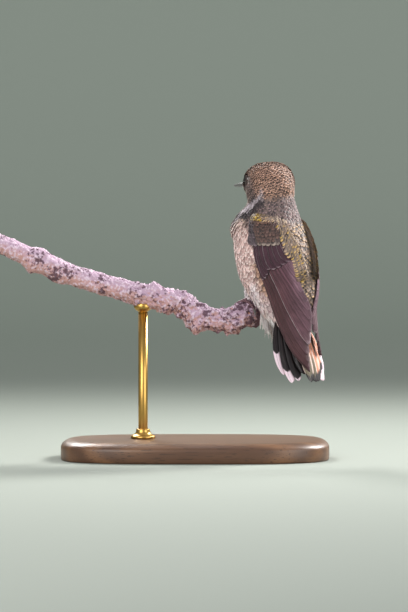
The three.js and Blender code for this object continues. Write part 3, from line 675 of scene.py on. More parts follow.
# Bare dark skin, finely granular, so the lids frame the globe without a shine.
lid_finish, tree, shader = finish("bare eyelid", roughness=0.6)
grain = add(tree, "TexNoise", add(tree, "TexCoord", out="Object"), 5000, 2)
plug(shader, Base_Color=add(tree, "Mix RGBA", grain, "#2e2624", "#5c4f4a"))

EYE_RINGS, EYE_CORNERS, LID_STEPS, LID_CORNERS = 26, 36, 48, 8
front, left = facing(HEAD_HEADING)
for word, side, middle in (("left", 1, eye_places[0]), ("right", -1, eye_places[1])):
    look = unit(left * side * 0.96 + front * 0.26 + np.array([0, 0, 0.08]))
    level = unit(np.cross([0, 0, 1], look))
    rise = np.cross(look, level)
    rings, gazes = [], []
    for lean in np.linspace(0.04, pi - 0.04, EYE_RINGS):
        bulge = EYE_RADIUS * (1 + 0.06 * exp(-(lean / 0.55) ** 2))
        rings.append([middle + look * cos(lean) * bulge + (level * cos(t) + rise * sin(t))
                      * sin(lean) * EYE_RADIUS for t in circle(EYE_CORNERS)])
        gazes += [cos(lean)] * EYE_CORNERS
    globe = piece("eye_ball_" + word, *tube(rings), eye_finish)
    store(globe.data, "gaze", gazes + [1, -1], "FLOAT")
    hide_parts("eye_" + word)
    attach(globe, "root")
    rings = []
    for t in circle(LID_STEPS):
        lean = 0.86 - 0.10 * abs(sin(t)) + 0.05 * abs(cos(t)) ** 3
        around = level * cos(t) + rise * sin(t)
        out = look * cos(lean) + around * sin(lean)
        slide = around * cos(lean) - look * sin(lean)
        bead = 1 + 0.18 * cos(t * 24)
        rings.append([middle + out * (EYE_RADIUS + 0.03 + 0.10 * bead * cos(u)) + slide * 0.13 * bead * sin(u)
                      for u in circle(LID_CORNERS)])
    faces, last = tube_faces(LID_STEPS, LID_CORNERS, closed=False), (LID_STEPS - 1) * LID_CORNERS
    for j in range(LID_CORNERS):
        after = (j + 1) % LID_CORNERS
        faces.append((last + j, last + after, after, j))
    lids = piece("eyelids_" + word, np.vstack(rings), faces, lid_finish)
    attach(lids, "root")

# ---------------------------------------------------------------- bill
# Two halves of straight needle-like horn with a soft sheen. The upper overlaps the lower along the cutting edges,
# and a groove runs forward from each nostril.

BILL_LENGTH, BILL_BASE, BILL_DROOP = 17, (7.55, 0, 75.65), 1.1
BILL_BASE_RADIUS, BILL_TIP_RADIUS = 1.1, 0.34
BILL_RINGS, BILL_CORNERS = 41, 24
# Polished keratin: dark horn with a soft long highlight, faintly mottled.
horn_finish, tree, shader = finish("dark horn", roughness=0.32, IOR=1.55, Coat_Weight=0.8, Coat_Roughness=0.2)
grain = add(tree, "TexNoise", add(tree, "TexCoord", out="Object"), 900, 4, sockets={"Distortion": 1})
colour = add(tree, "Mix RGBA", grain, "#403e40", "#787472")
plug(shader, Base_Color=colour, Normal=add(tree, "Bump", 0.3, 0.00003, sockets={"Height": grain}))

for name, side, reach in (("bill_upper_horn", 1, BILL_LENGTH), ("bill_lower_horn", -1, BILL_LENGTH * 0.985)):
    rings = []
    for i in range(BILL_RINGS):
        share = i / (BILL_RINGS - 1)
        size = BILL_TIP_RADIUS + (BILL_BASE_RADIUS - BILL_TIP_RADIUS) * (1 - share ** 2)
        size *= sqrt(max(1 - max(share - 0.975, 0) ** 2 / 0.0007, 0.05))
        middle = place(BILL_BASE, HEAD_HEADING) + front * (reach * share - 0.6 * (1 - share))
        middle = middle + np.array([0, 0, -BILL_DROOP * share ** 1.3])
        ring = []
        for t in circle(BILL_CORNERS):
            wide, high = cos(t), sin(t)
            groove = 0.16 * exp(-((abs(wide) - 0.72) / 0.16) ** 2) * max(0, 1 - share / 0.35) * (high > 0)
            depth = 0.94 if high > 0 else 0.12
            width = 0.98 if side > 0 else 0.86
            ring.append(middle + left * wide * size * width * (1 - groove)
                        + np.array([0, 0, side * (high * size * depth * (1 - groove) + 0.02)]))
        rings.append(ring)
    horn = piece(name, *tube(rings), horn_finish)
    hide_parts("bill_upper" if side > 0 else "bill_lower")
    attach(horn, "root")

# ---------------------------------------------------------------- wings
# Each folded wing is ten primaries and six secondaries of stiff dark vane, laid like a closed fan with the innermost
# on top, then rows of coverts over their quills, down to scale-like ones on the wrist.

def run_of(start, dense, few, many, step=0.03):
    """Places along a feather, with more of them beyond dense, where its tip rounds off."""
    return np.concatenate([np.linspace(start, dense, few), np.linspace(dense + step, 1, many)])


# Places across a stiff feather from its leading edge to its trailing edge, and back along its underside.
VANE_COLUMNS = [(-1, 0), (-0.6, 0), (-0.22, 0), (-0.07, 0), (0, 0), (0.07, 0), (0.22, 0), (0.6, 0), (1, 0), (0.6, 1),
                (0, 1), (-0.6, 1)]
TOP_COLUMNS = 8  # the quads of the top, before those of the underside


def flight_vane(run, lead, trail, tip, droop, shaft):
    """A feather's outline in rows: each has columns of (place along 0 to 1, millimetres across, lift, place across)."""
    rows = []
    for share in run:
        close = sqrt(max(1 - (max(share - tip, 0) / (1.0005 - tip)) ** 2.2, 0.0))
        open_up = min(1.0, 0.45 + share * 2.2)
        row = []
        for across, under in VANE_COLUMNS:
            wide = (lead if across < 0 else trail) * close * open_up
            ridge = shaft * (1 - 0.6 * share) if across == 0 and not under else 0
            off = across * wide if abs(across) > 0.07 else across * min(1.2, 2.0 * wide)
            row.append((share, off, ridge - droop * (across + 0.3 * across ** 2) - 0.045 * under, across))
        rows.append(row)
    return np.array(rows)


class Fan:
    """Collects feathers laid on a sheet, and joins them into one mesh with their vane, tract and bake maps."""

    def __init__(self):
        self.points, self.faces, self.vanes, self.tracts = [], [], [], []
        self.count = 0

    def lay(self, rows, spots, tract):
        """rows are from flight_vane, spots are its points in space, and tract is (kind, fringe, luck)."""
        wide = rows.shape[1]
        points, faces = tube(spots)
        # The thin underside is split along the same diagonals as the top, so that they never cross.
        for i, face in enumerate(faces):
            turned = face[1:] + face[:1] if len(face) == 4 and i % wide >= TOP_COLUMNS else face
            self.faces.append(tuple(self.count + corner for corner in turned))
        self.count += len(points)
        self.points.append(points)
        along = np.concatenate([rows[..., 0].ravel(), [0, 1]])
        across = np.concatenate([rows[..., 3].ravel(), [0, 0]])
        self.vanes.append(np.stack([across, along, np.full(len(along), tract[2])], 1))
        self.tracts.append(np.tile(np.array(tract, float), (len(points), 1)))

    def made(self, name, material):
        made = piece(name, np.vstack(self.points), self.faces, material)
        store(made.data, "vane", np.vstack(self.vanes))
        store(made.data, "tract", np.vstack(self.tracts))
        side = ceil(sqrt(len(self.vanes)))
        corners = np.vstack([
            np.array([i % side, i // side]) / side + (0.08 + 0.84 * (vane[:, :2] * [0.5, 1] + [0.5, 0])) / side
            for i, vane in enumerate(self.vanes)])
        chart = made.data.uv_layers.new(name="OFBake")
        index = np.zeros(len(made.data.loops), int)
        made.data.loops.foreach_get("vertex_index", index)
        chart.data.foreach_set("uv", corners[index].ravel())
        return made


PRIMARIES = [  # tip along, millimetres back from the leading edge at the tip and at the coverts, widths either side
    (0.460, 9.4, 8.2, 0.75, 3.0), (0.535, 9.6, 7.4, 0.75, 3.0), (0.600, 9.6, 6.5, 0.75, 3.0),
    (0.660, 8.9, 5.6, 0.75, 3.0), (0.725, 7.5, 4.7, 0.8, 2.9), (0.795, 5.4, 3.95, 0.8, 2.7),
    (0.862, 3.3, 3.05, 0.62, 2.3), (0.925, 1.9, 2.3, 0.6, 2.0), (0.972, 0.9, 1.5, 0.58, 1.7),
    (1.0, 0.3, 0.9, 0.62, 1.5)]
SECONDARIES = [(0.417, 9.8, 8.8), (0.378, 10.3, 9.2), (0.338, 10.8, 9.6), (0.300, 11.0, 10.0), (0.266, 11.2, 10.4),
               (0.236, 11.3, 10.7)]


def read_vane(tree, lean, count):
    """A stiff feather's vane and tract, how far out from the shaft, how far along the barbs' slant, and the barbs."""
    vane, tract = [add(tree, "SeparateXYZ", add(tree, "Attribute " + name, out="Vector")).node.outputs
                   for name in ("vane", "tract")]
    out = add(tree, "Math ABSOLUTE", vane["X"])
    slant = add(tree, "Math MULTIPLY_ADD", out, lean, vane["Y"])
    return vane, tract, out, slant, add(tree, "Math SINE", add(tree, "Math MULTIPLY", slant, count))


# The wing's flight feathers: stiff keratin, nearly matt, dark with melanin that bleaches at the edges.
flight_finish, tree, shader = finish("stiff dark vane", roughness=0.6, IOR=1.5, Specular_IOR_Level=0.2,
                                     Sheen_Weight=0.1, Sheen_Roughness=0.4)
vane, tract, out, slant, barbs = read_vane(tree, -0.16, 760)
# tract X is 0 for the outermost flight feathers, 1 for the innermost and 2 for great coverts; Y is how pale its
# fringe is, and past 1 the leading edge is painted almost white, a painted highlight along a raised edge.
inner = add(tree, "MapRange", tract["X"], 0, 1)
covert = add(tree, "MapRange", tract["X"], 1, 2)
ground = add(tree, "Mix RGBA", inner, "#4a3033", "#583a44")
ground = add(tree, "Mix RGBA", covert, ground, "#3b242d")
# Fringes up to 1 are the feathers' own pale edges; a fringe past 1, given to one primary only, paints a highlight along
# its leading edge.
pale_fringe_and_highlight = add(tree, "MapRange", tract["Y"], 0.7, 1.3)
edge = add(tree, "Mix RGBA", pale_fringe_and_highlight, "#8a747c", "#c4b1b6")
# The inner vanes have a lilac bloom towards their tips, and each is darker behind its shaft.
bloom = add(tree, "MapRange", vane["Y"], 0.5, 0.85, 0, 0.75)
bloom = add(tree, "Math MULTIPLY", bloom, inner)
bloom = add(tree, "Math MULTIPLY", bloom, add(tree, "Math SUBTRACT", 1, covert))
ground = add(tree, "Mix RGBA", bloom, ground, "#795c67")
dusky = add(tree, "MapRange", vane["X"], -0.2, 0.9, 1.1, 0.8)
strand = add(tree, "CombineXYZ", slant, vane["X"], tract["Z"])
strand = add(tree, "TexNoise", add(tree, "VectorMath MULTIPLY", strand, (34.0, 1.2, 50.0)), 1, 3)
streak = add(tree, "MapRange", strand, 0.25, 0.75, 0.76, 1.24)
blur = add(tree, "TexNoise", add(tree, "TexCoord", out="Object"), 240, 3)
patchy = add(tree, "MapRange", blur, 0.3, 0.7, 0.82, 1.2)
tone = add(tree, "Math MULTIPLY_ADD", barbs, 0.05, dusky)
fate = add(tree, "Math MULTIPLY_ADD", tract["Z"], 0.3, 0.85)
for factor in (patchy, streak, fate):
    tone = add(tree, "Math MULTIPLY", tone, factor)
colour = add(tree, "VectorMath SCALE", ground, tone)
frayed = add(tree, "Math MULTIPLY_ADD", strand, 0.3, out)
leading = add(tree, "MapRange", vane["X"], 0, -0.2, 0.35, 1)
sides = add(tree, "Math MULTIPLY", add(tree, "MapRange SMOOTHSTEP", frayed, 0.92, 1.12), leading)
sides = add(tree, "Math MULTIPLY", sides, tract["Y"])
tips = add(tree, "MapRange", covert, 0, 1, 0.2, 1)
tips = add(tree, "Math MULTIPLY", add(tree, "MapRange SMOOTHSTEP", vane["Y"], 0.95, 0.985), tips)
rim = add(tree, "Math MAXIMUM", sides, tips)
colour = add(tree, "Mix RGBA", rim, colour, edge)
quill = add(tree, "MapRange SMOOTHSTEP", out, 0.07, 0.03, 0, 0.7)
colour = add(tree, "Mix RGBA", quill, colour, "#2b1e21")
plug(shader, Base_Color=colour, Normal=add(tree, "Bump", 0.3, 0.00003, sockets={"Height": barbs}))

WING_ROUNDING = 0.09  # share of the length where the wrist's end rounds off
TUCK = 0.45  # millimetres
ARM_RINGS, ARM_CORNERS = 14, 24

for word, side in (("left", 1), ("right", -1)):
    sheet = sheets[side]
    chord_at = lambda along: np.interp(along, np.linspace(0, 1, SHEET_ROWS), sheet[2])
    flight = Fan()

    def on_blade(start, end, rows, lift, above=-1.0, bend=1.6):
        """The rows' points on the wing, from start to end, each (along, millimetres back). Where the feather above
        it reaches, up to that one's tip, the blade is tucked in behind the other's edge."""
        share, off = rows[..., 0], rows[..., 1]
        along = start[0] + (end[0] - start[0]) * share
        limit = chord_at(along) - TUCK * np.clip((above - along) / 0.03, 0, 1)
        lead = np.interp(along, [0.05, 0.15, 0.28, 0.42, 1.0], [0.0, 0.3, 0.6, 0.3, 0.0])
        least = lead + 0.12
        shaft = np.clip(start[1] + (end[1] - start[1]) * share ** bend, least, np.maximum(limit - 0.25, least))
        behind, before = np.maximum(off.max(1), 1e-6)[:, None], np.maximum(-off.min(1), 1e-6)[:, None]
        off = off * np.where(off > 0, np.minimum(1, (limit - shaft) / behind), np.minimum(1, (shaft - lead) / before))
        return on_wing(sheet, along, shaft + off, lift + rows[..., 2])

    for i, (tip, back, emerge, narrow, broad) in enumerate(PRIMARIES):
        rows = flight_vane(run_of(0, 0.8, 18, 10), narrow, broad, 0.84, 0.02, 0.07)
        over = PRIMARIES[i - 1][0] if i else SECONDARIES[0][0]
        spots = on_blade((0.1, emerge - 0.2), (tip, back), rows, 0.06 - 0.055 * i - (0.07 if i > 5 else 0), over)
        # The fringe of 1.5 on this one primary is a painted highlight along its leading edge.
        flight.lay(rows, spots, (1 - i / 7, 1.5 if i == 5 else 0.14, chance.random()))
    for i, (tip, back, emerge) in enumerate(SECONDARIES):
        rows = flight_vane(run_of(0, 0.75, 10, 8, 0.05), 0.9, 2.2, 0.72, 0.02, 0.06)
        over = SECONDARIES[i + 1][0] if i < 5 else -1.0
        spots = on_blade((0.06, emerge - 0.9), (tip, back), rows, 0.12 + 0.055 * i, over)
        flight.lay(rows, spots, (1, 0.35 if i > 2 else 0.2, chance.random()))

    # Great coverts lie over the quills of the flight feathers: three short ones of the hand, then broad ones of the
    # forearm with pale edges, and the rounded tips of the innermost.
    great = [  # tip along, across, half width, length along, lift and fringe
        (0.322, 0.07, 0.7, 0.2, 0.16, 0.3), (0.314, 0.15, 0.8, 0.2, 0.19, 0.9), (0.296, 0.23, 0.9, 0.2, 0.22, 0.2),
        (0.266, 0.32, 1.5, 0.2, 0.26, 0.2), (0.270, 0.44, 1.6, 0.2, 0.30, 0.85), (0.262, 0.58, 1.6, 0.2, 0.34, 0.15),
        (0.246, 0.72, 1.7, 0.2, 0.38, 0.45), (0.228, 0.86, 1.8, 0.2, 0.42, 0.7), (0.200, 0.96, 1.6, 0.18, 0.46, 0.8)]
    for end, share, half, long, lift, fringe in great:
        run, start = (0, 0.2, 0.4, 0.6, 0.72, 0.8, 0.87, 0.93, 0.97, 1), end - long
        rows = flight_vane(run, half * 0.85, half * 1.15, 0.7, 0.04, 0.03)
        spots = on_blade((start, (share + 0.03) * chord_at(start)), (end, share * chord_at(end)), rows, lift + 0.06,
                         bend=1.0)
        flight.lay(rows, spots, (2, fringe, chance.random()))
    blades = flight.made("wing_" + word + "_flight_feathers", flight_finish)
    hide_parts("wing_" + word + "_secondaries", "wing_" + word + "_primaries")
    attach(blades, "root")

    # Small scale-like coverts tile the wrist and forearm, and scapulars from the back lap over the wing's inner edge.
    quills = []
    outward_at = lambda along, column: sheet[1][max(0, int(along * (SHEET_ROWS - 1))), column]

    def plant(root, tip, outward, wide, deep, tract, along, across):
        lie = tip - root
        outward = squared(outward, lie)
        place_in = (tract / LAST, side * (0.03 if tract == 9.8 else 0.25), chance.random())
        chart = (0.03 + 0.9 * min(max(across, 0), 1.3) / 1.3, 0.1 + 2.2 * along, 0)
        quills.append((root, outward, lie, (wide, np.linalg.norm(lie), deep), place_in, chart))

    shoulder_rows = [  # tips along, how many, width, length along, lift at the tip, tract
        (0.138, 9, 2.3, 0.065, 0.58, 31), (0.122, 10, 1.7, 0.055, 0.60, 28), (0.107, 11, 1.6, 0.05, 0.63, 28),
        (0.092, 11, 1.5, 0.05, 0.66, 28), (0.076, 12, 1.4, 0.045, 0.69, 28), (0.060, 12, 1.3, 0.045, 0.71, 28),
        (0.046, 12, 1.3, 0.042, 0.72, 28), (0.032, 12, 1.2, 0.04, 0.72, 25), (0.020, 12, 1.2, 0.04, 0.70, 22),
        (0.009, 12, 1.1, 0.038, 0.66, 22), (-0.002, 11, 1.1, 0.036, 0.58, 22), (-0.014, 10, 1.1, 0.034, 0.46, 22)]
    for end, many, wide, long, lift, tract in shoulder_rows:
        narrow = sqrt(max(0.1, 1 - (max(0, WING_ROUNDING - end) / (WING_ROUNDING + 0.03)) ** 2))
        for i in range(many):
            share = 0.5 + (i / (many - 1) - 0.5) * 0.98 * narrow
            tail = end - 0.012 * (2 * share - 1) ** 2 + chance.normal(0, 0.002)
            spots = []
            for along, up in ((tail - long, lift - 0.42), (tail, lift)):
                # Past the wrist the patch curves down into the breast and the neck, and its sides droop.
                up -= (max(0, 0.035 - along) / 0.04) ** 2 * 0.75 + 0.5 * abs(2 * share - 1) ** 4
                reach = share * chord_at(max(along, 0.0)) + chance.normal(0, 0.1)
                spots.append(on_wing(sheet, along, reach, up))
            kind = tract
            if share < 0.17 and end > 0.02:
                kind = 34
            elif tract == 22 and share >= 0.42:
                kind = 9.8
            if tract == 25 and not 0.25 < share < 0.66:
                kind = 28
            plant(*spots, outward_at(tail, SHEET_COLUMNS // 2), wide, 0.24, kind, tail, share)
    # Behind the patch, scapulars root in the back and lap tailward over the inner edge, from the shoulder to the rump.
    for across, lift, deep in ((1.22, 0.10, 0.9), (1.13, 0.22, 0.5), (1.04, 0.34, 0.3), (0.95, 0.50, 0.2)):
        for along in np.arange(-0.045, 0.15 if across < 1 else 0.34, 0.0185):
            here = along + chance.normal(0, 0.003) + (0.009 if deep in (0.5, 0.2) else 0)
            end = here + 0.062
            root = on_wing(sheet, here, across * chord_at(max(here, 0.0)), lift - 0.35 - deep * 0.3)
            tip = on_wing(sheet, end, (across - 0.07) * chord_at(max(end, 0.0)), lift)
            sink = (max(0, 0.02 - here) / 0.04) ** 2 * 0.5
            normal = outward_at(here, SHEET_COLUMNS - 1)
            plant(root - normal * sink, tip - normal * sink * 0.3, normal, 1.9, 0.3, 9.6 + 14 * max(along, 0), here,
                  across)
    made = clothe("coat_shoulder_" + word, quills, tile_vane, 0.07, 6)
    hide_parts("wing_" + word + "_coverts")

    # The forearm's flesh fills the fold under the coverts, so that the wing rests on the body.
    rings = []
    for share in np.linspace(0, 1, ARM_RINGS):
        along = 0.02 + 0.18 * share
        swell = sin(pi * min(0.97, max(0.03, share))) ** 0.5
        rings.append([on_wing(sheet, along, chord_at(along) * (0.5 - 0.42 * cos(t) * swell),
                              sin(t) * (0.05 if sin(t) > 0 else 0.8) * swell) for t in circle(ARM_CORNERS)])
    arm = piece("forearm_" + word, *tube(rings), skin_finish)
    store(arm.data, "place", [(28 / LAST, side * 0.35, 0.5)] * len(arm.data.vertices))
    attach(arm, "root")

# ---------------------------------------------------------------- tail
# Ten stiff tail feathers, fanned more to the left. The middle pair is bronze-green, and the others are rusty at the
# base, then black, with white tips that grow towards the outermost.

TAIL_ROOT, TAIL_PITCH, TAIL_DEFLECTION = (-6.6, 0, 45.9), 71, -1.4
TAIL_FEATHERS = [  # place at the tip, length, half width and depth under the middle pair
    (1.1, 25.4, 2.4, 0), (2.8, 25.2, 2.9, 0.3), (5.0, 24.6, 2.2, 0.95), (7.3, 24.9, 2.2, 1.2), (9.3, 22.4, 1.7, 1.45)]
BANDS = {  # where the black and the white begin on each, left and right
    1: [(0.93, 1.2), (0.42, 1.2), (0.35, 0.975), (0.3, 0.86), (0.3, 0.72)],
    -1: [(0.93, 1.2), (0.90, 1.2), (0.88, 0.95), (0.80, 0.88), (0.70, 0.80)]}
TAIL_RIGHT_SPREAD = 0.72
WORN_OFF = 2.2

# Stiff keratin vane with a faint sheen, rusty, black and white in bands.
tail_finish, tree, shader = finish("stiff tail vane", roughness=0.55, IOR=1.5, Specular_IOR_Level=0.3)
vane, tract, out, slant, barbs = read_vane(tree, -0.2, 600)
# tract X is where the black begins, Y where the white tip begins, and Z is 1 on the bronze middle pair.
wobble = add(tree, "TexNoise", add(tree, "TexCoord", out="Object"), 900, 3)
run = add(tree, "Math MULTIPLY_ADD", wobble, 0.06, vane["Y"])
run = add(tree, "Math MULTIPLY_ADD", out, 0.05, run)
run = add(tree, "Math SUBTRACT", run, 0.045)
black = add(tree, "MapRange SMOOTHSTEP", add(tree, "Math SUBTRACT", run, tract["X"]), -0.02, 0.02)
white = add(tree, "MapRange SMOOTHSTEP", add(tree, "Math SUBTRACT", run, tract["Y"]), -0.01, 0.01)
bronze = add(tree, "Math MULTIPLY", add(tree, "MapRange", run, 0.66, 0.76), tract["Z"])
colour = add(tree, "Mix RGBA", bronze, "#cd8467", "#5a4f3a")
rim = add(tree, "MapRange SMOOTHSTEP", out, 0.68, 0.96, 0, 0.8)
quill = add(tree, "MapRange SMOOTHSTEP", out, 0.07, 0.03, 0, 0.6)
for mask, over in ((rim, "#e2c8be"), (black, "#1b1416"), (white, "#e6cdd6"), (quill, "#3a2824")):
    colour = add(tree, "Mix RGBA", mask, colour, over)
colour = add(tree, "VectorMath SCALE", colour, add(tree, "Math MULTIPLY_ADD", barbs, 0.05, 1))
plug(shader, Base_Color=colour, Normal=add(tree, "Bump", 0.3, 0.00003, sockets={"Height": barbs}))

pitch = radians(TAIL_PITCH)
front, left = facing(TRUNK_HEADING)
away = -front * cos(pitch) + np.array([0, 0, -sin(pitch)])
dorsal = -front * sin(pitch) + np.array([0, 0, cos(pitch)])
groups = {"tail_middle_feathers": Fan(), "tail_left_feathers": Fan(), "tail_right_feathers": Fan()}
for side in (1, -1):
    for i, (tip, long, half, low) in enumerate(TAIL_FEATHERS):
        if side > 0 and i == 1:
            long -= WORN_OFF  # the second on the left is worn short, so that a gap opens beside the middle pair
        outer = 0.55 if i > 2 else 0.8
        rows = flight_vane(run_of(0.12, 0.8, 14, 12), half * outer, half * (2 - outer), 0.78 if i else 0.7, 0.06, 0.08)
        share = rows[..., 0]
        fanned = tip * np.sin(share * 1.9) / sin(1.9)
        spread = (fanned if side > 0 else -fanned * TAIL_RIGHT_SPREAD) + TAIL_DEFLECTION * share
        spread = spread - side * rows[..., 1] + side * half * (1 - outer) * 0.4
        depth = -low - 0.008 * spread ** 2 - 0.14 * (side < 0) * (i < 2) + rows[..., 2]
        spots = place(TAIL_ROOT) + sum(arrow * far[..., None] for arrow, far in
                                       ((away, long * share), (left, spread), (dorsal, depth)))
        name = "middle" if i < 2 else "left" if side > 0 else "right"
        groups["tail_" + name + "_feathers"].lay(rows, spots, (*BANDS[side][i], float(i == 0)))
for name, fan in groups.items():
    blades = fan.made(name, tail_finish)
    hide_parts(name.replace("_feathers", ""))
    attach(blades, "root")

# ---------------------------------------------------------------- perch
# A finger-thin twig with rough grey-mauve bark, swollen at old bud scars and crusted with lichen. Its thick end is
# sawn, and the rod of the stand holds it from below.

BRANCH_LINE = [
    (-55.6, 1.5, 60.1), (-45, 0.4, 55.4), (-36, 1.2, 51.4), (-26, 1.8, 48.2), (-14, 0.4, 44.9), (-5, -0.6, 43.2),
    (1, -0.8, 39.4), (7, -0.9, 38.3), (11.5, -0.3, 38.9), (14.3, 1.6, 40.1), (16.4, 4.2, 40.3), (17.6, 6.4, 40.2)]
BRANCH_KNOTS = [  # share of the length, round it in degrees, height
    (0.155, 262, 1.3), (0.165, 88, 0.9), (0.25, 255, 0.5), (0.47, 70, 0.5), (0.585, 80, 0.9), (0.63, 265, 0.6),
    (0.68, 85, 0.6), (0.755, 250, 1.6), (0.80, 95, 0.5), (0.86, 270, 0.9), (0.95, 260, 1.2), (0.99, 200, 0.5)]
BRANCH_RADIUS = 2.85

walk = spline(BRANCH_LINE)
trail = np.array([walk(t) for t in np.linspace(0, 1, 1200)])
run = np.concatenate([[0], np.cumsum(np.linalg.norm(np.diff(trail, axis=0), axis=1))])
BRANCH_LENGTH = run[-1]


def branch_frame(share):
    """The branch's middle at a share of its length, and its directions along, level across and upward."""
    spot = lambda s: np.array([np.interp(s * BRANCH_LENGTH, run, trail[:, axis]) for axis in range(3)])
    along = unit(spot(min(share + 0.004, 1)) - spot(max(share - 0.004, 0)))
    level = unit(np.cross([0, 0, 1], along))
    return spot(share), along, level, np.cross(along, level)


def bark_radius(share, angle):
    size = BRANCH_RADIUS * (1 + 0.04 * sin(37 * share) + 0.03 * sin(2 * angle + 19 * share))
    size *= 0.84 + 0.16 * min(1, share / 0.13)
    for spot, turn, height in BRANCH_KNOTS:
        bump = exp(-((share - spot) / 0.022) ** 2)
        size += height * bump * max(0, cos(angle - radians(turn))) ** 2
    return size


rings, crusts, ages = [], [], []
LONG, ROUND, OLD_SCAR = 420, 72, 200
for i in range(LONG + 1):
    share = i / LONG
    middle, along, level, upward = branch_frame(share)
    ring = []
    for t in circle(ROUND):
        arm = level * cos(t) + upward * sin(t)
        spot = Vector(middle + arm * BRANCH_RADIUS)
        lump = noise.fractal(spot * 0.45, 1.0, 2.0, 3)
        ridge = noise.fractal(Vector((cos(t) * 3.2, sin(t) * 3.2, share * 16)), 0.9, 2.1, 4)
        crust = noise.fractal(spot * 1.5 + Vector((7, 3, 1)), 0.8, 2.0, 4)
        pit = min(0.0, noise.noise(spot * 1.1) + 0.15)
        gnarl = float(np.clip((share - 0.42) / 0.2, 0, 1))  # the thin end is gnarled by old spur scars
        knob = max(0.0, noise.noise(spot * 0.55 + Vector((3, 9, 4))) - 0.05)
        size = (bark_radius(share, t) + 0.26 * lump + (0.16 + 0.25 * gnarl) * abs(ridge)
                + (0.12 + 0.34 * gnarl) * max(0, crust))
        size += (0.35 + 0.45 * gnarl) * pit + 1.7 * gnarl * knob
        if share > 0.985:
            size *= 1 - 0.3 * ((share - 0.985) / 0.015) ** 2
        if i == 0:
            size *= 0.985
        ring.append(middle + arm * size)
        crusts.append(max(0.0, crust) * 1.5 + 0.3 * lump)
        scar = exp(-((share - 0.235) / 0.022) ** 2) * max(0, cos(t - radians(OLD_SCAR))) ** 2
        ages.append(min(1.0, 0.75 * max(0, share - 0.85) / 0.1 + 0.25 * gnarl + 1.1 * scar))
    rings.append(ring)

# Dry bark with crusted lichen: rough and quite dull, paler where the crust is, and with a painted top light, paler and
# more mauve, where it faces the sky.
bark_finish, tree, shader = finish("lichened twig bark", roughness=0.92, IOR=1.45)
where = add(tree, "TexCoord", out="Object")
crust = add(tree, "Attribute crust", out="Fac")
skyward = add(tree, "SeparateXYZ", add(tree, "NewGeometry", out="Normal"), out="Z")
broad = add(tree, "TexNoise", where, 160, 5, 0.65)
fine = add(tree, "TexNoise", where, 1000, 5, 0.68)
clumps = add(tree, "TexNoise", where, 260, 3, 0.6)
flakes = add(tree, "TexVoronoi", where, 1100, feature="DISTANCE_TO_EDGE")
# Painted top light: the bark's colour turns paler and more mauve where its surface faces up.
above = add(tree, "MapRange SMOOTHSTEP", add(tree, "Math MULTIPLY_ADD", broad, 0.9, skyward))
colour = add(tree, "Mix RGBA", above, "#bd918c", "#b196a9")
pale = add(tree, "MapRange SMOOTHSTEP", add(tree, "Math MULTIPLY_ADD", crust, 0.7, fine), 0.55, 1, 0, 0.8)
# Dark pits and dead bark crowd together in clumps, and thickly at the gnarled end and at one old scar.
old = add(tree, "Attribute old bark", out="Fac")
dark = add(tree, "Math MULTIPLY_ADD", old, -0.22, add(tree, "Math MULTIPLY_ADD", clumps, 0.9, fine))
dark = add(tree, "MapRange SMOOTHSTEP", dark, 0.90, 0.76, 0, 0.88)
lichen = add(tree, "MapRange SMOOTHSTEP", add(tree, "TexNoise", where, 330, 2), 0.70, 0.76, 0, 0.6)
# The sawn end shows pale wood with growth rings about 0.4 mm apart, inside a thin rind of bark.
pith = add(tree, "Attribute from pith", out="Fac")
rings_of = add(tree, "Math MULTIPLY_ADD", broad, 0.12, pith)
rings_of = add(tree, "Math SINE", add(tree, "Math MULTIPLY", rings_of, 44))
rings_of = add(tree, "MapRange", rings_of, -1, 1, 0.25, 0.75)
wood = add(tree, "Mix RGBA", rings_of, "#9c745e", "#cfa98e")
sawn = add(tree, "Math GREATER_THAN", add(tree, "Attribute sawn", out="Fac"), 0.999)
sawn = add(tree, "Math MULTIPLY", sawn, add(tree, "Math LESS_THAN", pith, 0.88))
for mask, over in ((pale, "#d2bdcb"), (dark, "#4b2f3c"), (lichen, "#c98a5c"), (sawn, wood)):
    colour = add(tree, "Mix RGBA", mask, colour, over)
height = add(tree, "Math MULTIPLY_ADD", add(tree, "MapRange", flakes, 0, 0.12), 0.22, fine)
height = add(tree, "Math MULTIPLY", height, add(tree, "Math SUBTRACT", 1, sawn))
plug(shader, Base_Color=colour, Normal=add(tree, "Bump", 0.9, 0.00022, sockets={"Height": height}))

twig = piece("twig", *tube(rings), bark_finish)
store(twig.data, "crust", crusts + [0, 0], "FLOAT")
store(twig.data, "old bark", ages + [0, 1], "FLOAT")
for name, at_pith in (("sawn", 1), ("from pith", 0)):
    store(twig.data, name, [1] * ROUND + [0] * (LONG * ROUND) + [at_pith, 0], "FLOAT")
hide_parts("perch_branch")
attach(twig, "root")

# ---------------------------------------------------------------- feet
# Short bare shanks with overlapping scutes, three toes forward and one back, each ending in a strongly curved claw of
# horn that grips the bark.

FOOT_PLACE = (6.6, 2.25)
TOE_RADIUS, TOE_SPREAD = 0.42, 1.25
# Dry scaled skin: dusky, with a low gloss on the scutes and dark creases between them.
foot_finish, tree, shader = finish("scaled foot skin", roughness=0.5, IOR=1.5)
grain = add(tree, "TexNoise", add(tree, "TexCoord", out="Object"), 2600, 4)
colour = add(tree, "Mix RGBA", grain, "#4a2b33", "#906871")
colour = add(tree, "Mix RGBA", add(tree, "Attribute scute", out="Fac"), "#1d1114", colour)
plug(shader, Base_Color=colour, Normal=add(tree, "Bump", 0.4, 0.00003, sockets={"Height": grain}))


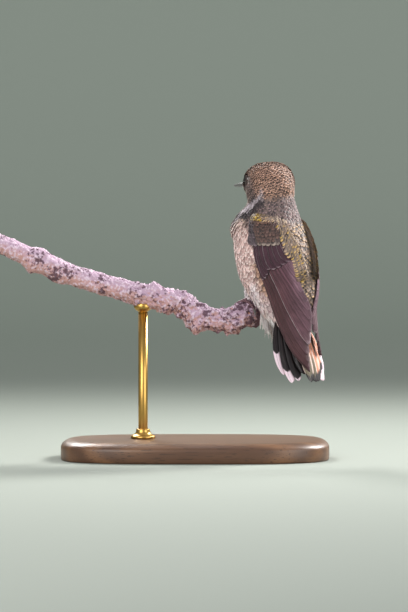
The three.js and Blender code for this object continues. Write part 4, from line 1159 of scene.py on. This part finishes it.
def limb(places, size, scutes, corners=14, steps=56):
    """A tube along places whose size is given along it, ridged by scutes. Returns its points, faces and ridges."""
    line = spline(places)
    spots = np.array([line(t) for t in np.linspace(0, 1, steps)])
    ring_up, rings, ridges = None, [], []
    for i, spot in enumerate(spots):
        along = unit(spots[min(i + 1, steps - 1)] - spots[max(i - 1, 0)])
        if ring_up is None:
            ring_up = np.cross(along, [0.3, 0.2, 0.9])
        ring_up = unit(ring_up - along * ring_up.dot(along))
        across = np.cross(along, ring_up)
        share = i / (steps - 1)
        saw = (share * scutes) % 1.0 if scutes else 1.0
        ridges += [min(1.0, 0.1 + 1.6 * saw)] * corners
        wide = size(share) * (1 + (0.10 * (saw ** 0.6) if scutes else 0))
        rings.append([spot + (ring_up * cos(t) + across * sin(t)) * wide for t in circle(corners)])
    return *tube(rings), ridges + [0.3, 0.3]


def gather(name, limbs, material, slot, *nodes):
    """One piece from several limbs."""
    made = piece(name, *joined([part[:2] for part in limbs]), material)
    store(made.data, "scute", sum((part[2] for part in limbs), []), "FLOAT")
    if nodes:
        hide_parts(*nodes)
    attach(made, "root")


shares = np.linspace(0, 1, 401)
middles_over = np.array([branch_frame(s)[0] for s in shares])
for word, side in (("left", 1), ("right", -1)):
    over = place((FOOT_PLACE[0], side * FOOT_PLACE[1], 0))
    share = shares[np.argmin(np.hypot(middles_over[:, 0] - over[0], middles_over[:, 1] - over[1]))]
    middle, along, level, upward = branch_frame(share)
    ahead = level * np.sign(level.dot(facing(TRUNK_HEADING)[0]))
    grip = BRANCH_RADIUS * 1.1 + TOE_RADIUS
    top = middle + upward * grip
    ankle = place((THIGH_END[0], side * THIGH_END[1], THIGH_END[2]))
    bend = ankle + (top - ankle) * 0.55 - facing(TRUNK_HEADING)[0] * 0.3
    limbs = [limb([ankle - (top - ankle) * 0.12, bend, top + upward * 0.1],
                  lambda s: SHANK_RADIUS - 0.06 * sin(pi * s) + 0.08 * s, 7)]
    claws = []
    for start, end, offset, thick in ((0, 118, -TOE_SPREAD, 0.92), (0, 128, 0.1, 1.0), (0, 112, TOE_SPREAD, 0.92),
                                      (10, -98, 0, 0.95)):
        places = []
        for t in np.linspace(0, 1, 9):
            turn, reach = radians(start + (end - start) * t), grip + 0.10 * sin(t * pi)
            places.append(middle + upward * cos(turn) * reach + ahead * sin(turn) * reach
                          + along * offset * sqrt(t))
        toe = spline(places)
        pads = lambda s, thick=thick: TOE_RADIUS * thick * (1 - 0.16 * s) * (1 + 0.07 * cos(s * 18))
        limbs.append(limb([toe(t) for t in np.linspace(0, 0.72, 7)], pads, 9))
        hook = [toe(t) for t in (0.68, 0.78, 0.88, 0.97)]
        tip = hook[-1] + unit(middle - hook[-1]) * 0.45
        claws.append(limb(hook + [tip], lambda s: 0.30 * (1 - s) ** 0.7 + 0.035, 0, corners=12, steps=24))
    gather("foot_" + word + "_skin", limbs, foot_finish, "foot_skin", "foot_" + word)
    gather("claws_" + word, claws, horn_finish, "horn")

# ---------------------------------------------------------------- stand
# A turned and oiled walnut base with a rounded upper edge, and a satin brass rod in a collar, with a small cradle
# under the branch. It rests on its own weight.

BASE_LENGTH, BASE_DEPTH, BASE_SQUARENESS = 74, 44, 3.2
BASE_CORNERS, ROD_CORNERS = 160, 48
BASE_PROFILE = [(0.5, 0), (0.15, 0.12), (0, 0.5), (0, 1.9), (0, 3.3), (0.06, 3.7), (0.3, 4.15), (0.66, 4.5), (1.1, 4.8),
                (1.6, 5.07), (2.2, 5.28), (2.9, 5.43), (3.6, 5.5)]
rings = []
for inset, up in BASE_PROFILE:
    ring = []
    for t in circle(BASE_CORNERS):
        x, y = [copysign(abs(v) ** (2 / BASE_SQUARENESS), v) for v in (sin(t), cos(t))]
        ring.append((x * (BASE_LENGTH / 2 - inset), y * (BASE_DEPTH / 2 - inset), up))
    rings.append(ring)
# Walnut, turned, sanded and oiled: brown growth rings under a soft gloss.
walnut_finish, tree, shader = finish("oiled walnut", roughness=0.42, IOR=1.5, Coat_Weight=0.15, Coat_Roughness=0.3)
where = add(tree, "TexCoord", out="Object")
stretch = add(tree, "Mapping", where, sockets={"Rotation": (0.35, 0.0, 0.06), "Scale": (0.16, 1.0, 1.0)})
# Growth rings about 2 mm apart where the board is cut along the grain, with pores 0.3 mm wide between them.
bend = add(tree, "TexNoise", stretch, 60, 3)
bent = add(tree, "VectorMath ADD", stretch, (0.0, 0.012, 0.006))
rings_of = add(tree, "TexWave", bent, 75, 7, 3, 1.2, out="Fac", bands_direction="Y")
pores = add(tree, "Mapping", where, sockets={"Scale": (260.0, 3400.0, 3400.0)})
pores = add(tree, "TexNoise", pores, 1, 2)
colour = add(tree, "Mix RGBA", rings_of, "#4a2f1f", "#7a5436")
colour = add(tree, "Mix RGBA", bend, colour, "#5d3f2a")
pit = add(tree, "MapRange SMOOTHSTEP", pores, 0.42, 0.34, 0, 0.6)
colour = add(tree, "Mix RGBA", pit, colour, "#2c1a10")
plug(shader, Base_Color=colour, Normal=add(tree, "Bump", 0.15, 0.00006, sockets={"Height": pores}))
base = piece("walnut_base", *tube(rings), walnut_finish)
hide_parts("stand_base")
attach(base, "root")

# Brass brushed round in the lathe: a broad warm highlight, lightly tarnished.
brass_finish, tree, shader = finish("satin brass", metallic=1.0, roughness=0.3)
where = add(tree, "TexCoord", out="Object")
turned = add(tree, "Mapping", where, sockets={"Scale": (300.0, 300.0, 9000.0)})
turned = add(tree, "TexNoise", turned, 1, 2)
tarnish = add(tree, "TexNoise", where, 300, 4)
colour = add(tree, "Mix RGBA", tarnish, "#c79f58", "#a88443")
plug(shader, Base_Color=colour, Roughness=add(tree, "MapRange", turned, 0, 1, 0.24, 0.38),
     Normal=add(tree, "Bump", 0.1, 0.00002, sockets={"Height": turned}))


def turned_piece(name, foot, profile, node):
    """A round piece on the rod's axis from its profile of (radius, height over its foot)."""
    rings = [[(axis[0] + radius * cos(t), axis[1] + radius * sin(t), foot + up) for t in circle(ROD_CORNERS)]
             for radius, up in profile]
    made = piece(name, *tube(rings), brass_finish)
    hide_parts(node)
    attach(made, "root")


low, high = [np.array(corner) * 1000 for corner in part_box("stand_rod")]
axis = (low + high) / 2
turned_piece("brass_rod", 0, [(1.2, low[2] - 0.3), (1.3, low[2]), (1.3, high[2] + 0.2)], "stand_rod")
turned_piece("brass_collar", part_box("stand_collar")[0][2] * 1000,
             [(3.2, -0.1), (3.4, 0.1), (3.4, 0.55), (3.28, 0.72), (2.95, 0.86), (2.5, 1.1), (2.1, 1.5), (1.92, 2.0),
              (1.9, 2.5), (1.8, 2.6)], "stand_collar")
turned_piece("brass_cradle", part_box("stand_saddle")[0][2] * 1000,
             [(1.3, -0.1), (1.5, 0.15), (2.0, 0.5), (2.4, 0.95), (2.5, 1.3), (2.5, 2.3), (2.3, 2.45)], "stand_saddle")

# ---------------------------------------------------------------- studio
# A plain pale floor that sweeps up into its backdrop, five soft lamps at a plain level and a long lens at the
# height of the bird's back.

# Matt paper, grey-green, paler to the back.
floor_finish, tree, shader = finish("pale studio paper", roughness=0.9)
height = add(tree, "SeparateXYZ", add(tree, "TexCoord", out="Object")).node.outputs
back = add(tree, "MapRange SMOOTHSTEP", height["Y"], 0.1, 0.9)
plug(shader, Base_Color=add(tree, "Mix RGBA", back, "#8b9189", "#adb6aa"))
sweep = [(-2500, 0), (600, 0), (760, 12), (880, 60), (960, 150), (1000, 300), (1010, 2200)]
points = [(x, y, z) for x in (-2600, 2600) for y, z in sweep]
turns = len(sweep)
faces = [(i, i + 1, i + turns + 1, i + turns) for i in range(turns - 1)]
paper = piece("studio_paper", points, faces, floor_finish)

world = bpy.data.worlds.new("soft room")
world.use_nodes = True
world.node_tree.nodes["Background"].inputs[0].default_value = hex_colour("#dfe3e6")
world.node_tree.nodes["Background"].inputs[1].default_value = 0.55
bpy.context.scene.world = world
LAMPS_AIM = Vector((22, -3, 60))
for name, spot, size, power, spread in (
        ("key", (-320, -500, 300), 420, 2.8, 180), ("fill", (440, -380, 180), 420, 2.0, 180),
        ("rim", (420, 300, 400), 200, 1.0, 60), ("kicker", (-190, 430, 400), 160, 0.32, 60),
        ("top", (0, 60, 620), 380, 0.5, 180)):
    lamp = bpy.data.lights.new(name, "AREA")
    lamp.size, lamp.energy, lamp.spread = size * 0.001, power, radians(spread)
    lamp.color = (1.0, 0.985, 0.965) if name != "fill" else (0.96, 0.98, 1.0)
    holder = bpy.data.objects.new(name, lamp)
    bpy.context.scene.collection.objects.link(holder)
    holder.location = [v * 0.001 for v in spot]
    holder.rotation_euler = (LAMPS_AIM - Vector(spot)).to_track_quat("-Z", "Y").to_euler()

CAMERA_RISE, CAMERA_FAR, AIM = radians(3), 2001, Vector((2.475, -3, 42.3))
eye = bpy.data.cameras.new("long lens")
eye.sensor_fit, eye.sensor_height, eye.sensor_width = "VERTICAL", 36, 24
eye.lens, eye.clip_start, eye.clip_end = 428, 0.05, 20
camera = bpy.data.objects.new("long lens", eye)
bpy.context.scene.collection.objects.link(camera)
camera.location = (AIM + Vector((0, -cos(CAMERA_RISE), sin(CAMERA_RISE))) * CAMERA_FAR) * 0.001
camera.rotation_euler = (pi / 2 - CAMERA_RISE, 0, 0)
bpy.context.scene.camera = camera
bpy.context.scene.view_settings.view_transform = "Standard"

bpy.context.view_layer.update()
